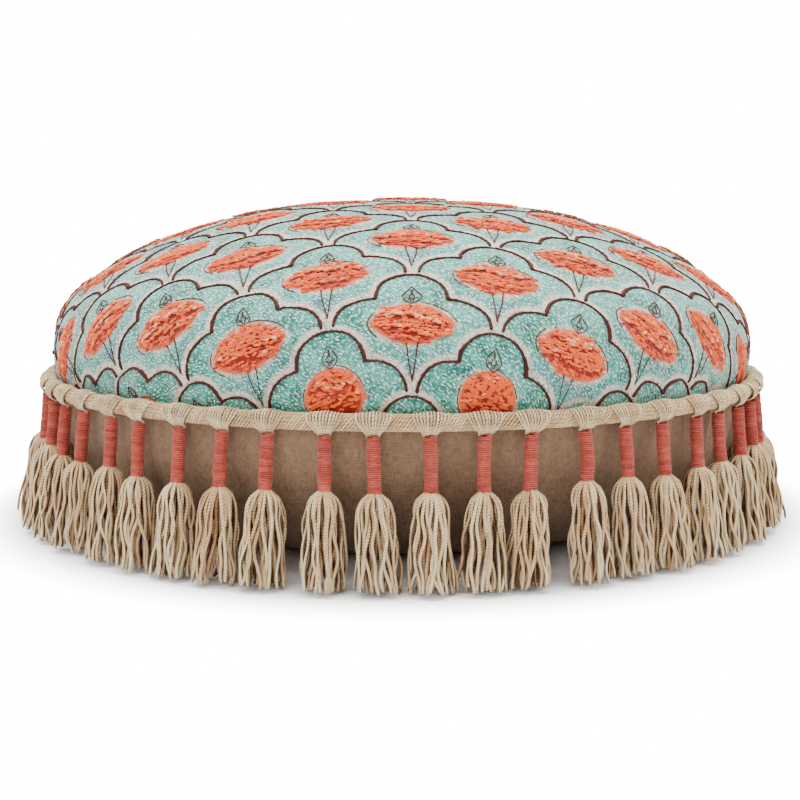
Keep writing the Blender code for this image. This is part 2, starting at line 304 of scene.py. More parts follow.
def makePlyGroup():
    # two plies wound round each other: 1 on the crown of a ply and 0 in the groove between them
    tree = bpy.data.node_groups.new("woundPlies", "ShaderNodeTree")
    newSocket(tree, "Ring", "NodeSocketVector")
    newSocket(tree, "Along", "NodeSocketFloat", 0.0)
    newSocket(tree, "Turns Per Metre", "NodeSocketFloat", 200.0)
    newSocket(tree, "Crown", "NodeSocketFloat", way="OUTPUT")
    enter = tree.nodes.new("NodeGroupInput")
    leave = tree.nodes.new("NodeGroupOutput")
    split = tree.nodes.new("ShaderNodeSeparateXYZ")
    wire(tree, enter.outputs["Ring"], split.inputs[0])
    angle = calc(tree, "ARCTAN2", split.outputs[1], split.outputs[0])
    wound = calc(tree, "MULTIPLY", calc(tree, "MULTIPLY", enter.outputs["Along"], 2 * math.pi),
                 enter.outputs["Turns Per Metre"])
    swing = calc(tree, "SINE", calc(tree, "SUBTRACT", angle, wound))
    wire(tree, calc(tree, "ABSOLUTE", swing), leave.inputs["Crown"])
    return tree


fleckGroup = makeFleckGroup()
plyGroup = makePlyGroup()
fibreGroup = makeFibreGroup()
weaveGroup = makeWeaveGroup()


def placeGroup(tree, group, **values):
    node = tree.nodes.new("ShaderNodeGroup")
    node.node_tree = group
    for label, value in values.items():
        wire(tree, value, node.inputs[label.replace("_", " ")])
    return node


def startMaterial(name, roughness, sheen=0.0, specular=0.3, metallic=0.0):
    material = bpy.data.materials.new(name)
    material.use_nodes = True
    tree = material.node_tree
    shader = tree.nodes["Principled BSDF"]
    shader.inputs["Roughness"].default_value = roughness
    shader.inputs["Sheen Weight"].default_value = sheen
    shader.inputs["Sheen Roughness"].default_value = 0.5
    shader.inputs["Specular IOR Level"].default_value = specular
    shader.inputs["Metallic"].default_value = metallic
    return material, tree, shader


def raiseSurface(tree, shader, height, distance, strength=1.0):
    bump = tree.nodes.new("ShaderNodeBump")
    bump.inputs["Strength"].default_value = strength
    bump.inputs["Distance"].default_value = distance
    wire(tree, height, bump.inputs["Height"])
    tree.links.new(bump.outputs["Normal"], shader.inputs["Normal"])


# the colour given after the sheen is painted shade, for the sides of yarns and the grooves between plies
def yarnMaterial(name, dark, light, fibreCount=900.0, roughness=0.85, relief=0.0006, sheen=0.15,
                 paintedShadeColour=None, plies=0.0):
    material, tree, shader = startMaterial(name, roughness, sheen, 0.2)
    coordinates = tree.nodes.new("ShaderNodeTexCoord")
    fibres = placeGroup(tree, fibreGroup, Vector=coordinates.outputs["Object"],
                        Shade=attributeOf(tree, "shade"), Dark=dark, Light=light, Fibre_Count=fibreCount)
    colour, height = fibres.outputs["Color"], fibres.outputs["Height"]
    if paintedShadeColour is not None:
        # painted shade: the side of a yarn that faces its neighbours is darkened towards the shade colour, as
        # if shaded by them
        facing = tree.nodes.new("ShaderNodeVectorMath")
        facing.operation = "DOT_PRODUCT"
        wire(tree, coordinates.outputs["Normal"], facing.inputs[0])
        wire(tree, attributeOf(tree, "outward", "Vector"), facing.inputs[1])
        flankShade = remap(tree, facing.outputs["Value"], 0.62, -0.20, 0.0, 0.85)
        colour = blendColour(tree, flankShade, colour, paintedShadeColour)
    if plies:
        # each yarn's shade also sets where its twist starts, so that the grooves of neighbours don't line up
        start = calc(tree, "MULTIPLY", attributeOf(tree, "shade"), 0.05)
        wound = placeGroup(tree, plyGroup, Ring=attributeOf(tree, "ring", "Vector"),
                           Along=calc(tree, "ADD", attributeOf(tree, "along"), start), Turns_Per_Metre=plies)
        # the grooves between the plies are darkened towards the same shade colour: painted shade
        colour = blendColour(tree, remap(tree, wound.outputs["Crown"], 0.60, 0.05, 0.0, 0.62), colour, paintedShadeColour)
        height = calc(tree, "ADD", calc(tree, "MULTIPLY", height, 0.4), wound.outputs["Crown"])
    tree.links.new(colour, shader.inputs["Base Color"])
    raiseSurface(tree, shader, height, relief)
    return material


# node trees for threads and knots

def makeThreadTree():
    tree = bpy.data.node_groups.new("threadFromLine", "GeometryNodeTree")
    newSocket(tree, "Geometry", "NodeSocketGeometry")
    newSocket(tree, "Sides", "NodeSocketInt", 5)
    newSocket(tree, "Flatness", "NodeSocketFloat", 0.75)
    newSocket(tree, "Turns Per Metre", "NodeSocketFloat", 0.0)
    newSocket(tree, "Material", "NodeSocketMaterial")
    newSocket(tree, "Geometry", "NodeSocketGeometry", way="OUTPUT")
    nodes, links = tree.nodes, tree.links
    enter = nodes.new("NodeGroupInput")
    leave = nodes.new("NodeGroupOutput")
    toCurve = nodes.new("GeometryNodeMeshToCurve")
    thickness = nodes.new("GeometryNodeInputNamedAttribute")
    thickness.data_type = "FLOAT"
    thickness.inputs["Name"].default_value = "thickness"
    spline = nodes.new("GeometryNodeSplineParameter")
    setTilt = nodes.new("GeometryNodeSetCurveTilt")
    circle = nodes.new("GeometryNodeCurvePrimitiveCircle")
    circle.inputs["Radius"].default_value = 1.0
    stores = []
    for name, kind in (("along", "FLOAT"), ("ring", "FLOAT_VECTOR")):
        store = nodes.new("GeometryNodeStoreNamedAttribute")
        store.data_type = kind
        store.domain = "POINT"
        store.inputs["Name"].default_value = name
        stores.append(store)
    keepAlong, keepRing = stores
    position = nodes.new("GeometryNodeInputPosition")
    flatten = nodes.new("GeometryNodeTransform")
    size = nodes.new("ShaderNodeCombineXYZ")
    size.inputs[0].default_value = 1.0
    size.inputs[2].default_value = 1.0
    sweep = nodes.new("GeometryNodeCurveToMesh")
    sweep.inputs["Fill Caps"].default_value = True
    smooth = nodes.new("GeometryNodeSetShadeSmooth")
    realize = nodes.new("GeometryNodeRealizeInstances")
    setMaterial = nodes.new("GeometryNodeSetMaterial")
    links.new(enter.outputs["Geometry"], toCurve.inputs["Mesh"])
    links.new(thickness.outputs["Attribute"], sweep.inputs["Scale"])
    links.new(toCurve.outputs["Curve"], setTilt.inputs["Curve"])
    turns = calc(tree, "MULTIPLY", calc(tree, "MULTIPLY", spline.outputs["Length"], 2 * math.pi),
                 enter.outputs["Turns Per Metre"])
    links.new(turns, setTilt.inputs["Tilt"])
    links.new(enter.outputs["Sides"], circle.inputs["Resolution"])
    links.new(enter.outputs["Flatness"], size.inputs[1])
    links.new(circle.outputs["Curve"], keepRing.inputs["Geometry"])
    links.new(position.outputs["Position"], keepRing.inputs["Value"])
    links.new(keepRing.outputs["Geometry"], flatten.inputs["Geometry"])
    links.new(size.outputs[0], flatten.inputs["Scale"])
    links.new(setTilt.outputs["Curve"], keepAlong.inputs["Geometry"])
    links.new(spline.outputs["Length"], keepAlong.inputs["Value"])
    links.new(keepAlong.outputs["Geometry"], sweep.inputs["Curve"])
    links.new(flatten.outputs["Geometry"], sweep.inputs["Profile Curve"])
    links.new(sweep.outputs["Mesh"], smooth.inputs["Geometry"])
    links.new(smooth.outputs["Geometry"], realize.inputs["Geometry"])
    links.new(realize.outputs["Geometry"], setMaterial.inputs["Geometry"])
    links.new(enter.outputs["Material"], setMaterial.inputs["Material"])
    links.new(setMaterial.outputs["Geometry"], leave.inputs["Geometry"])
    return tree


def makeKnotTree():
    # a low knot of thread on every point, turned by the point's own normal and direction
    tree = bpy.data.node_groups.new("knotsOnPoints", "GeometryNodeTree")
    newSocket(tree, "Geometry", "NodeSocketGeometry")
    newSocket(tree, "Length", "NodeSocketFloat", 0.0018)
    newSocket(tree, "Width", "NodeSocketFloat", 0.0012)
    newSocket(tree, "Height", "NodeSocketFloat", 0.0012)
    newSocket(tree, "Unevenness", "NodeSocketFloat", 0.3)
    newSocket(tree, "Seed", "NodeSocketInt", 5)
    newSocket(tree, "Material", "NodeSocketMaterial")
    newSocket(tree, "Geometry", "NodeSocketGeometry", way="OUTPUT")
    nodes, links = tree.nodes, tree.links
    enter = nodes.new("NodeGroupInput")
    leave = nodes.new("NodeGroupOutput")
    ball = nodes.new("GeometryNodeMeshIcoSphere")
    ball.inputs["Radius"].default_value = 1.0
    ball.inputs["Subdivisions"].default_value = 1
    fields = []
    for name in ("outward", "heading"):
        field = nodes.new("GeometryNodeInputNamedAttribute")
        field.data_type = "FLOAT_VECTOR"
        field.inputs["Name"].default_value = name
        fields.append(field.outputs["Attribute"])
    stand = nodes.new("FunctionNodeAlignRotationToVector")
    stand.axis = "Z"
    links.new(fields[0], stand.inputs["Vector"])
    turn = nodes.new("FunctionNodeAlignRotationToVector")
    turn.axis = "X"
    turn.pivot_axis = "Z"
    links.new(stand.outputs["Rotation"], turn.inputs["Rotation"])
    links.new(fields[1], turn.inputs["Vector"])
    spread = nodes.new("FunctionNodeRandomValue")
    spread.data_type = "FLOAT"
    links.new(calc(tree, "SUBTRACT", 1.0, enter.outputs["Unevenness"]), spread.inputs[2])
    links.new(calc(tree, "ADD", 1.0, enter.outputs["Unevenness"]), spread.inputs[3])
    links.new(enter.outputs["Seed"], spread.inputs["Seed"])
    size = nodes.new("ShaderNodeCombineXYZ")
    for index, label in enumerate(("Length", "Width", "Height")):
        links.new(calc(tree, "MULTIPLY", enter.outputs[label], spread.outputs[1]), size.inputs[index])
    place = nodes.new("GeometryNodeInstanceOnPoints")
    links.new(enter.outputs["Geometry"], place.inputs["Points"])
    links.new(ball.outputs["Mesh"], place.inputs["Instance"])
    links.new(turn.outputs["Rotation"], place.inputs["Rotation"])
    links.new(size.outputs[0], place.inputs["Scale"])
    realize = nodes.new("GeometryNodeRealizeInstances")
    smooth = nodes.new("GeometryNodeSetShadeSmooth")
    setMaterial = nodes.new("GeometryNodeSetMaterial")
    links.new(place.outputs["Instances"], realize.inputs["Geometry"])
    links.new(realize.outputs["Geometry"], smooth.inputs["Geometry"])
    links.new(smooth.outputs["Geometry"], setMaterial.inputs["Geometry"])
    links.new(enter.outputs["Material"], setMaterial.inputs["Material"])
    links.new(setMaterial.outputs["Geometry"], leave.inputs["Geometry"])
    return tree


threadTree = makeThreadTree()
knotTree = makeKnotTree()


def runTree(name, mesh, tree, values):
    # evaluates the tree on the mesh once and keeps the result as a plain mesh
    source = bpy.data.objects.new(name + "Source", mesh)
    scene.collection.objects.link(source)
    modifier = source.modifiers.new("tree", "NODES")
    modifier.node_group = tree
    sockets = {s.name: s.identifier for s in tree.interface.items_tree if s.in_out == "INPUT"}
    for label, value in values.items():
        modifier[sockets[label]] = value
    graph = bpy.context.evaluated_depsgraph_get()
    result = bpy.data.meshes.new_from_object(source.evaluated_get(graph))
    result.name = name
    bpy.data.objects.remove(source)
    piece = bpy.data.objects.new(name, result)
    scene.collection.objects.link(piece)
    return piece


def storeOnPoints(mesh, label, values):
    kind, field = ("FLOAT_VECTOR", "vector") if values.ndim == 2 else ("FLOAT", "value")
    attribute = mesh.attributes.new(label, kind, "POINT")
    attribute.data.foreach_set(field, values.astype(np.float32).ravel())


def threadPiece(name, lines, material, sides=5, flatness=0.75, turns=0.0):
    # lines holds (points, thickness along them, shade, direction out of the bundle) for every thread
    points = np.concatenate([line[0] for line in lines])
    thickness = np.concatenate([np.broadcast_to(line[1], len(line[0])) for line in lines])
    shade = np.concatenate([np.broadcast_to(line[2], len(line[0])) for line in lines])
    outward = np.concatenate([line[3] if len(line) > 3 else np.zeros_like(line[0]) for line in lines])
    starts = np.cumsum([0] + [len(line[0]) for line in lines])
    index = np.arange(len(points) - 1)
    index = index[~np.isin(index + 1, starts)]
    mesh = bpy.data.meshes.new(name)
    mesh.from_pydata(points.tolist(), np.stack([index, index + 1], 1).tolist(), [])
    storeOnPoints(mesh, "thickness", thickness)
    storeOnPoints(mesh, "shade", shade)
    storeOnPoints(mesh, "outward", outward)
    values = {"Sides": sides, "Flatness": flatness, "Turns Per Metre": turns, "Material": material}
    return runTree(name, mesh, threadTree, values)


def gridPiece(name, points, faces, material, flat=None, fields=None):
    mesh = bpy.data.meshes.new(name)
    mesh.from_pydata(points.tolist(), [], faces)
    for label, values in (fields or {}).items():
        storeOnPoints(mesh, label, values)
    if flat is not None:
        corner = np.empty(len(mesh.loops), np.int32)
        mesh.loops.foreach_get("vertex_index", corner)
        mesh.uv_layers.new(name="flat").data.foreach_set("uv", flat[corner].astype(np.float32).ravel())
    mesh.polygons.foreach_set("use_smooth", np.ones(len(mesh.polygons), bool))
    mesh.materials.append(material)
    piece = bpy.data.objects.new(name, mesh)
    scene.collection.objects.link(piece)
    return piece


# the two covers: a flat round cloth over the dome, another under it

coverShape = dict(
    seamRadius=0.283, seamHeight=0.111, domeRadius=0.300, domeRise=0.1424, tuckHeight=0.070,
    baseRadius=0.190, planPower=2.16, heightPower=2.1, tuckPower=1.3, thickness=0.0016,
    gridAcross=306, innerAcross=51, lowerAcross=200,
)
fillSetup = dict(gridAcross=64, pressure=4.0, frames=20, looseness=0.008, most=0.0016, smoothing=3)


def domeProfile():
    angle = np.linspace(0.0, math.pi / 2, 3001)
    rise = coverShape["domeRise"] * np.maximum(np.cos(angle), 0.0) ** (2 / coverShape["heightPower"])
    tuck = np.maximum(0.0, 1.0 - rise / coverShape["tuckHeight"]) ** coverShape["tuckPower"]
    radius = coverShape["domeRadius"] * np.sin(angle) ** (2 / coverShape["planPower"])
    radius = radius - (coverShape["domeRadius"] - coverShape["seamRadius"]) * tuck
    height = coverShape["seamHeight"] + 0.0002 + rise
    return radius, height


def baseProfile():
    angle = np.linspace(math.pi / 2, 0.0, 1501)
    reach = coverShape["seamRadius"] - coverShape["baseRadius"]
    radius = coverShape["baseRadius"] + reach * np.cos(angle)
    height = (coverShape["seamHeight"] - 0.0002) * (1.0 - np.sin(angle))
    return np.concatenate([[0.0], radius]), np.concatenate([[0.0], height])


def arcLengths(radius, height):
    return np.concatenate([[0.0], np.cumsum(np.hypot(np.diff(radius), np.diff(height)))])


domeRadius, domeHeight = domeProfile()
domeArc = arcLengths(domeRadius, domeHeight)
baseRadius, baseHeight = baseProfile()
baseArc = arcLengths(baseRadius, baseHeight)


def squareGrid(count):
    line = np.linspace(-1.0, 1.0, count + 1)
    return np.meshgrid(line, line, indexing="xy")


def squareToDisc(x, y):
    # a square laid over a round cloth without a pole in the middle
    wide = np.abs(x) >= np.abs(y)
    safeX, safeY = np.where(x == 0, 1.0, x), np.where(y == 0, 1.0, y)
    reach = np.where(wide, x, y)
    angle = np.where(wide, math.pi / 4 * y / safeX, math.pi / 2 - math.pi / 4 * x / safeY)
    return reach * np.cos(angle), reach * np.sin(angle)


def discToSquare(u, v):
    reach = np.hypot(u, v)
    angle = np.arctan2(v, u)
    angle = np.where(angle < -math.pi / 4, angle + 2 * math.pi, angle)
    side = np.floor((angle + math.pi / 4) / (math.pi / 2)).astype(int) % 4
    slope = (angle - side * math.pi / 2) * reach / (math.pi / 4)
    x = np.choose(side, [reach, -slope, -reach, slope])
    y = np.choose(side, [slope, reach, -slope, -reach])
    return x, y


def overProfile(flat, arc, radius, height):
    distance = np.hypot(flat[..., 0], flat[..., 1])
    safe = np.maximum(distance, 1e-9)
    out = np.interp(distance, arc, radius) / safe
    return np.stack([flat[..., 0] * out, flat[..., 1] * out, np.interp(distance, arc, height)], -1)


def sampleGrid(grid, x, y):
    # the grid's value at a place of the square, between its four nearest points
    count = grid.shape[0] - 1
    column = np.clip((x + 1) / 2 * count, 0, count - 1e-6)
    row = np.clip((y + 1) / 2 * count, 0, count - 1e-6)
    i, j = row.astype(int), column.astype(int)
    s, t = (row - i)[..., None], (column - j)[..., None]
    return ((grid[i, j] * (1 - t) + grid[i, j + 1] * t) * (1 - s)
            + (grid[i + 1, j] * (1 - t) + grid[i + 1, j + 1] * t) * s)


def smoothGrid(grid, times):
    for _ in range(times):
        padded = np.pad(grid, ((1, 1), (1, 1), (0, 0)), mode="edge")
        grid = (padded[:-2, 1:-1] + padded[2:, 1:-1] + padded[1:-1, :-2] + padded[1:-1, 2:] + 2 * grid) / 6
    return grid


def gridFaces(count, start=0, flip=False):
    i, j = np.meshgrid(np.arange(count), np.arange(count), indexing="ij")
    a = (i * (count + 1) + j + start).ravel()
    quads = np.stack([a, a + 1, a + count + 2, a + count + 1], 1)
    return (quads[:, ::-1] if flip else quads).tolist()


def borderLoop(count):
    # the grid's edge points in order, anticlockwise from the lower left corner
    size = count + 1
    low = np.arange(count)
    right = np.arange(count) * size + count
    top = count * size + np.arange(count, 0, -1)
    left = np.arange(count, 0, -1) * size
    return np.concatenate([low, right, top, left])


def inflateCovers():
    # both covers sewn together at the seam and blown up a little, as loose cloth round a soft filling
    count = fillSetup["gridAcross"]
    x, y = squareGrid(count)
    u, v = squareToDisc(x, y)
    disc = np.stack([u, v], -1)
    upper = overProfile(disc * domeArc[-1], domeArc, domeRadius, domeHeight)
    lower = overProfile(disc * baseArc[-1], baseArc, baseRadius, baseHeight)
    start = [upper.reshape(-1, 3), lower.reshape(-1, 3)]
    size = (count + 1) ** 2
    loop = borderLoop(count)
    remapped = np.arange(2 * size)
    remapped[size + loop] = loop
    faces = gridFaces(count) + remapped[np.array(gridFaces(count, size, True))].tolist()
    mesh = bpy.data.meshes.new("looseCovers")
    mesh.from_pydata(np.concatenate(start).tolist(), [], faces)
    body = bpy.data.objects.new("looseCovers", mesh)
    scene.collection.objects.link(body)
    held = body.vertex_groups.new(name="held")
    flatBase = np.nonzero(start[1][:, 2] < 0.0008)[0] + size
    held.add(np.concatenate([loop, flatBase]).tolist(), 1.0, "REPLACE")
    cloth = body.modifiers.new("cloth", "CLOTH")
    settings = cloth.settings
    settings.quality = 6
    settings.mass = 0.3
    settings.tension_stiffness = settings.compression_stiffness = 25.0
    settings.shear_stiffness = 10.0
    settings.bending_stiffness = 0.6
    settings.use_pressure = True
    settings.uniform_pressure_force = fillSetup["pressure"]
    settings.vertex_group_mass = "held"
    settings.shrink_min = -fillSetup["looseness"]
    settings.effector_weights.gravity = 0.0
    cloth.collision_settings.use_collision = False
    cloth.collision_settings.use_self_collision = False
    for number in range(1, fillSetup["frames"] + 1):
        scene.frame_set(number)
    graph = bpy.context.evaluated_depsgraph_get()
    settled = body.evaluated_get(graph).to_mesh()
    after = np.empty(len(settled.vertices) * 3, np.float32)
    settled.vertices.foreach_get("co", after)
    scene.frame_set(1)
    bpy.data.objects.remove(body)
    moved = after.reshape(-1, 3).astype(float) - np.concatenate(start)
    moved[size + loop] = moved[loop]
    length = np.linalg.norm(moved, axis=1, keepdims=True)
    moved *= np.minimum(1.0, fillSetup["most"] / np.maximum(length, 1e-9))
    print("covers inflated, mean move", round(float(length.mean()) * 1000, 2), "mm, most",
          round(float(length.max()) * 1000, 2), "mm")
    return moved[:size].reshape(upper.shape), moved[size:].reshape(lower.shape)


upperMove, lowerMove = inflateCovers()


# the embroidered pattern, in flat cloth coordinates

pattern = dict(
    columnPitch=0.120, rowPitch=0.0485, centreX=0.007, firstApexY=-0.2440,
    lobeWidth=0.0255, lobeHeight=0.0235, archHeight=0.0455, cuspGap=0.0042,
    flowerDrop=0.0455, flowerHalfWidth=0.0310, flowerHalfHeight=0.0171,
)


def archHeights(offset):
    # how far under its apex an arch's edge lies, at a distance from its middle
    offset = np.abs(offset)
    lobe = pattern["lobeHeight"] * (1 - np.sqrt(np.maximum(0.0, 1 - (offset / pattern["lobeWidth"]) ** 2)))
    reach = pattern["columnPitch"] / 2 - pattern["cuspGap"] - pattern["lobeWidth"]
    share = np.clip((offset - pattern["lobeWidth"]) / reach, 0.0, 1.0)
    drop = pattern["archHeight"] - pattern["lobeHeight"]
    side = pattern["archHeight"] - drop * np.sqrt(np.maximum(0.0, 1 - share ** 2.2))
    return np.where(offset < pattern["lobeWidth"], lobe, side)


def archLine(step=0.0012):
    # one arch's edge from cusp to cusp, evenly spaced points
    half = pattern["columnPitch"] / 2 - pattern["cuspGap"]
    angle = np.linspace(0, math.pi / 2, 60)
    lobe = np.stack([pattern["lobeWidth"] * np.sin(angle), -pattern["lobeHeight"] * (1 - np.cos(angle))], 1)
    offset = pattern["lobeWidth"] + (half - pattern["lobeWidth"]) * np.sin(np.linspace(0.0, math.pi / 2, 60))
    side = np.stack([offset, -archHeights(offset + 1e-6)], 1)
    side[-1, 1] = -pattern["archHeight"] - 0.0005
    right = np.concatenate([lobe, side])
    both = np.concatenate([right[::-1] * (-1, 1), right[1:]])
    length = np.concatenate([[0], np.cumsum(np.hypot(*np.diff(both, axis=0).T))])
    even = np.linspace(0, length[-1], int(length[-1] / step) + 1)
    return np.stack([np.interp(even, length, both[:, 0]), np.interp(even, length, both[:, 1])], 1)


def cellsOnCloth():
    # every arch whose cell reaches the cloth: the x and y of its apex
    cells = []
    for row in range(-9, 14):
        y = pattern["firstApexY"] + row * pattern["rowPitch"]
        for column in range(-5, 6):
            x = pattern["centreX"] + (column + 0.5 * (row % 2)) * pattern["columnPitch"]
            if math.hypot(x, y - 0.03) < domeArc[-1] + 0.05:
                cells.append((x, y))
    return cells


archEdge = archLine()
cells = cellsOnCloth()


def distanceTable():
    # distance to a row of arches for every place round one of them
    xs = np.arange(-0.060, 0.0601, 0.001)
    ys = np.arange(-0.120, 0.0601, 0.001)
    rowLine = np.concatenate([archEdge + (shift * pattern["columnPitch"], 0) for shift in (-1, 0, 1)])[::2]
    gridX, gridY = np.meshgrid(xs, ys, indexing="xy")
    near = np.full(gridX.shape, 9.0)
    for px, py in rowLine:
        near = np.minimum(near, np.hypot(gridX - px, gridY - py))
    return xs, ys, near


tableX, tableY, tableNear = distanceTable()


def rowPlace(flat, row):
    # a point's place under the nearest apex of a row: across from its middle, and up from its apex
    pitch = pattern["columnPitch"]
    x = flat[..., 0] - pattern["centreX"] - 0.5 * (row % 2) * pitch
    across = x - np.round(x / pitch) * pitch
    up = flat[..., 1] - (pattern["firstApexY"] + row * pattern["rowPitch"])
    return across, up


def rowDistance(across, up):
    column = np.clip((across - tableX[0]) / 0.001, 0, len(tableX) - 1.001)
    line = np.clip((up - tableY[0]) / 0.001, 0, len(tableY) - 1.001)
    i, j = line.astype(int), column.astype(int)
    s, t = line - i, column - j
    near = tableNear
    return ((near[i, j] * (1 - t) + near[i, j + 1] * t) * (1 - s)
            + (near[i + 1, j] * (1 - t) + near[i + 1, j + 1] * t) * s)


def lensSize(sx, sy, roundness=0.0):
    # 1 on the edge of a flower: a lens with drawn-out ends, or rounder
    return np.abs(sx) ** 2.0 + np.abs(sy) ** (1.15 + 0.85 * roundness)


def patternFields(flat):
    # for each point of the cloth: how far it is under its own arch and over the arches below it,
    # and how far it is outside the nearest flower
    owner = np.full(flat.shape[:-1], 99)
    for row in range(14, -11, -1):
        across, up = rowPlace(flat, row)
        gap = np.abs(across) > pattern["columnPitch"] / 2 - pattern["cuspGap"]
        inside = (up < -archHeights(across)) & ~gap
        owner = np.where(inside, row, owner)
    under = np.full(owner.shape, 0.02)
    over = np.full(owner.shape, 0.02)
    petal = np.full(owner.shape, 0.02)
    downCell = np.zeros(owner.shape)
    for row in range(-10, 15):
        mine = owner == row
        if not mine.any():
            continue
        across, up = rowPlace(flat[mine], row)
        under[mine] = np.minimum(rowDistance(across, up), 0.02)
        downCell[mine] = -up
        below = rowDistance(*rowPlace(flat[mine], row - 1))
        further = rowDistance(*rowPlace(flat[mine], row - 2))
        over[mine] = np.minimum(np.minimum(below, further), 0.02)
        middle = flat[mine] - np.stack([across, up + pattern["flowerDrop"]], -1)
        low = np.clip((np.hypot(middle[..., 0], middle[..., 1]) - 0.315) / 0.03, 0, 1)
        sx = across / (pattern["flowerHalfWidth"] * (1 - 0.24 * low))
        sy = (up + pattern["flowerDrop"]) / (pattern["flowerHalfHeight"] * (1 + 0.18 * low))
        size = lensSize(sx, sy, 0.15 + 0.75 * low)
        petal[mine] = np.clip((size - 1.0) * pattern["flowerHalfHeight"], -0.02, 0.02)
    return under, over, petal, downCell


def layUpperCloth():
    count = coverShape["gridAcross"]
    x, y = squareGrid(count)
    u, v = squareToDisc(x, y)
    flat = np.stack([u, v], -1) * domeArc[-1]
    points = overProfile(flat, domeArc, domeRadius, domeHeight)
    distance = np.hypot(flat[..., 0], flat[..., 1])
    # the steep side stays close to its outline, so that a lifted tassel clears it
    ease = np.clip((0.325 - distance) / 0.045, 0.12, 1)
    points = points + smoothGrid(sampleGrid(upperMove, x, y), fillSetup["smoothing"]) * ease[..., None]
    under, over, petal, downCell = patternFields(flat)
    # sewn lines pull in a little, flowers stand up, and the edge puckers where it is sewn to the rope
    angle = np.arctan2(flat[..., 1], flat[..., 0])
    line = np.minimum(under, over)
    relief = -0.0008 * np.exp(-(line / 0.0022) ** 2) + 0.0006 * (petal < 0)
    edge = np.clip((distance - (domeArc[-1] - 0.030)) / 0.030, 0, 1)
    pucker = np.sin(angle * 61 + 1.7 * np.sin(angle * 7)) + 0.6 * np.sin(angle * 97 + 2.1 * np.sin(angle * 5))
    relief = relief + 0.0007 * pucker * edge * (1 - edge) * 4
    soft = np.sin(flat[..., 0] * 31 + 1.3) * np.sin(flat[..., 1] * 27 + 0.4)
    relief = relief + 0.0011 * soft * ease
    gradient = np.gradient(points, axis=1), np.gradient(points, axis=0)
    normal = np.cross(gradient[0], gradient[1])
    normal = normal / np.maximum(np.linalg.norm(normal, axis=-1, keepdims=True), 1e-12)
    inSeam = (1 - np.clip((distance - (domeArc[-1] - 0.003)) / 0.003, 0, 1))[..., None]
    points = points + normal * relief[..., None] * inSeam
    return flat, points, normal, (under, over, petal, downCell)


upperFlat, upperPoints, upperNormal, upperFields = layUpperCloth()
print("upper cloth laid,", len(cells), "pattern cells")


def onCloth(flat, lift=0.0):
    # a place of the flat cloth carried onto the dome, and the direction out of it there
    scaled = np.asarray(flat) / domeArc[-1]
    length = np.hypot(scaled[..., 0], scaled[..., 1])
    scaled = scaled / np.maximum(length, 1.0)[..., None]
    x, y = discToSquare(scaled[..., 0], scaled[..., 1])
    normal = sampleGrid(upperNormal, x, y)
    normal = normal / np.linalg.norm(normal, axis=-1, keepdims=True)
    return sampleGrid(upperPoints, x, y) + normal * np.asarray(lift)[..., None], normal


def closeShell(outer, count, innerCount, arc, radius, height, thickness, flip):
    # the dense outer wall, a plainer inner wall, and the strip that joins their edges
    x, y = squareGrid(innerCount)
    u, v = squareToDisc(x, y)
    inner = overProfile(np.stack([u, v], -1) * arc[-1], arc, radius, height)
    gradient = np.gradient(inner, axis=1), np.gradient(inner, axis=0)
    normal = np.cross(gradient[0], gradient[1]) * (-1 if flip else 1)
    normal = normal / np.maximum(np.linalg.norm(normal, axis=-1, keepdims=True), 1e-12)
    inner = inner - normal * thickness
    start = (count + 1) ** 2
    points = np.concatenate([outer.reshape(-1, 3), inner.reshape(-1, 3)])
    faces = gridFaces(count, 0, flip) + gridFaces(innerCount, start, not flip)
    outerLoop, innerLoop = borderLoop(count), borderLoop(innerCount) + start
    ratio = count // innerCount
    for k in range(len(innerLoop)):
        outerPart = [int(outerLoop[(k * ratio + m) % len(outerLoop)]) for m in range(ratio + 1)]
        innerPart = [int(innerLoop[k]), int(innerLoop[(k + 1) % len(innerLoop)])]
        face = outerPart[::-1] + innerPart
        faces.append(face[::-1] if flip else face)
    return points, faces


# upper cover

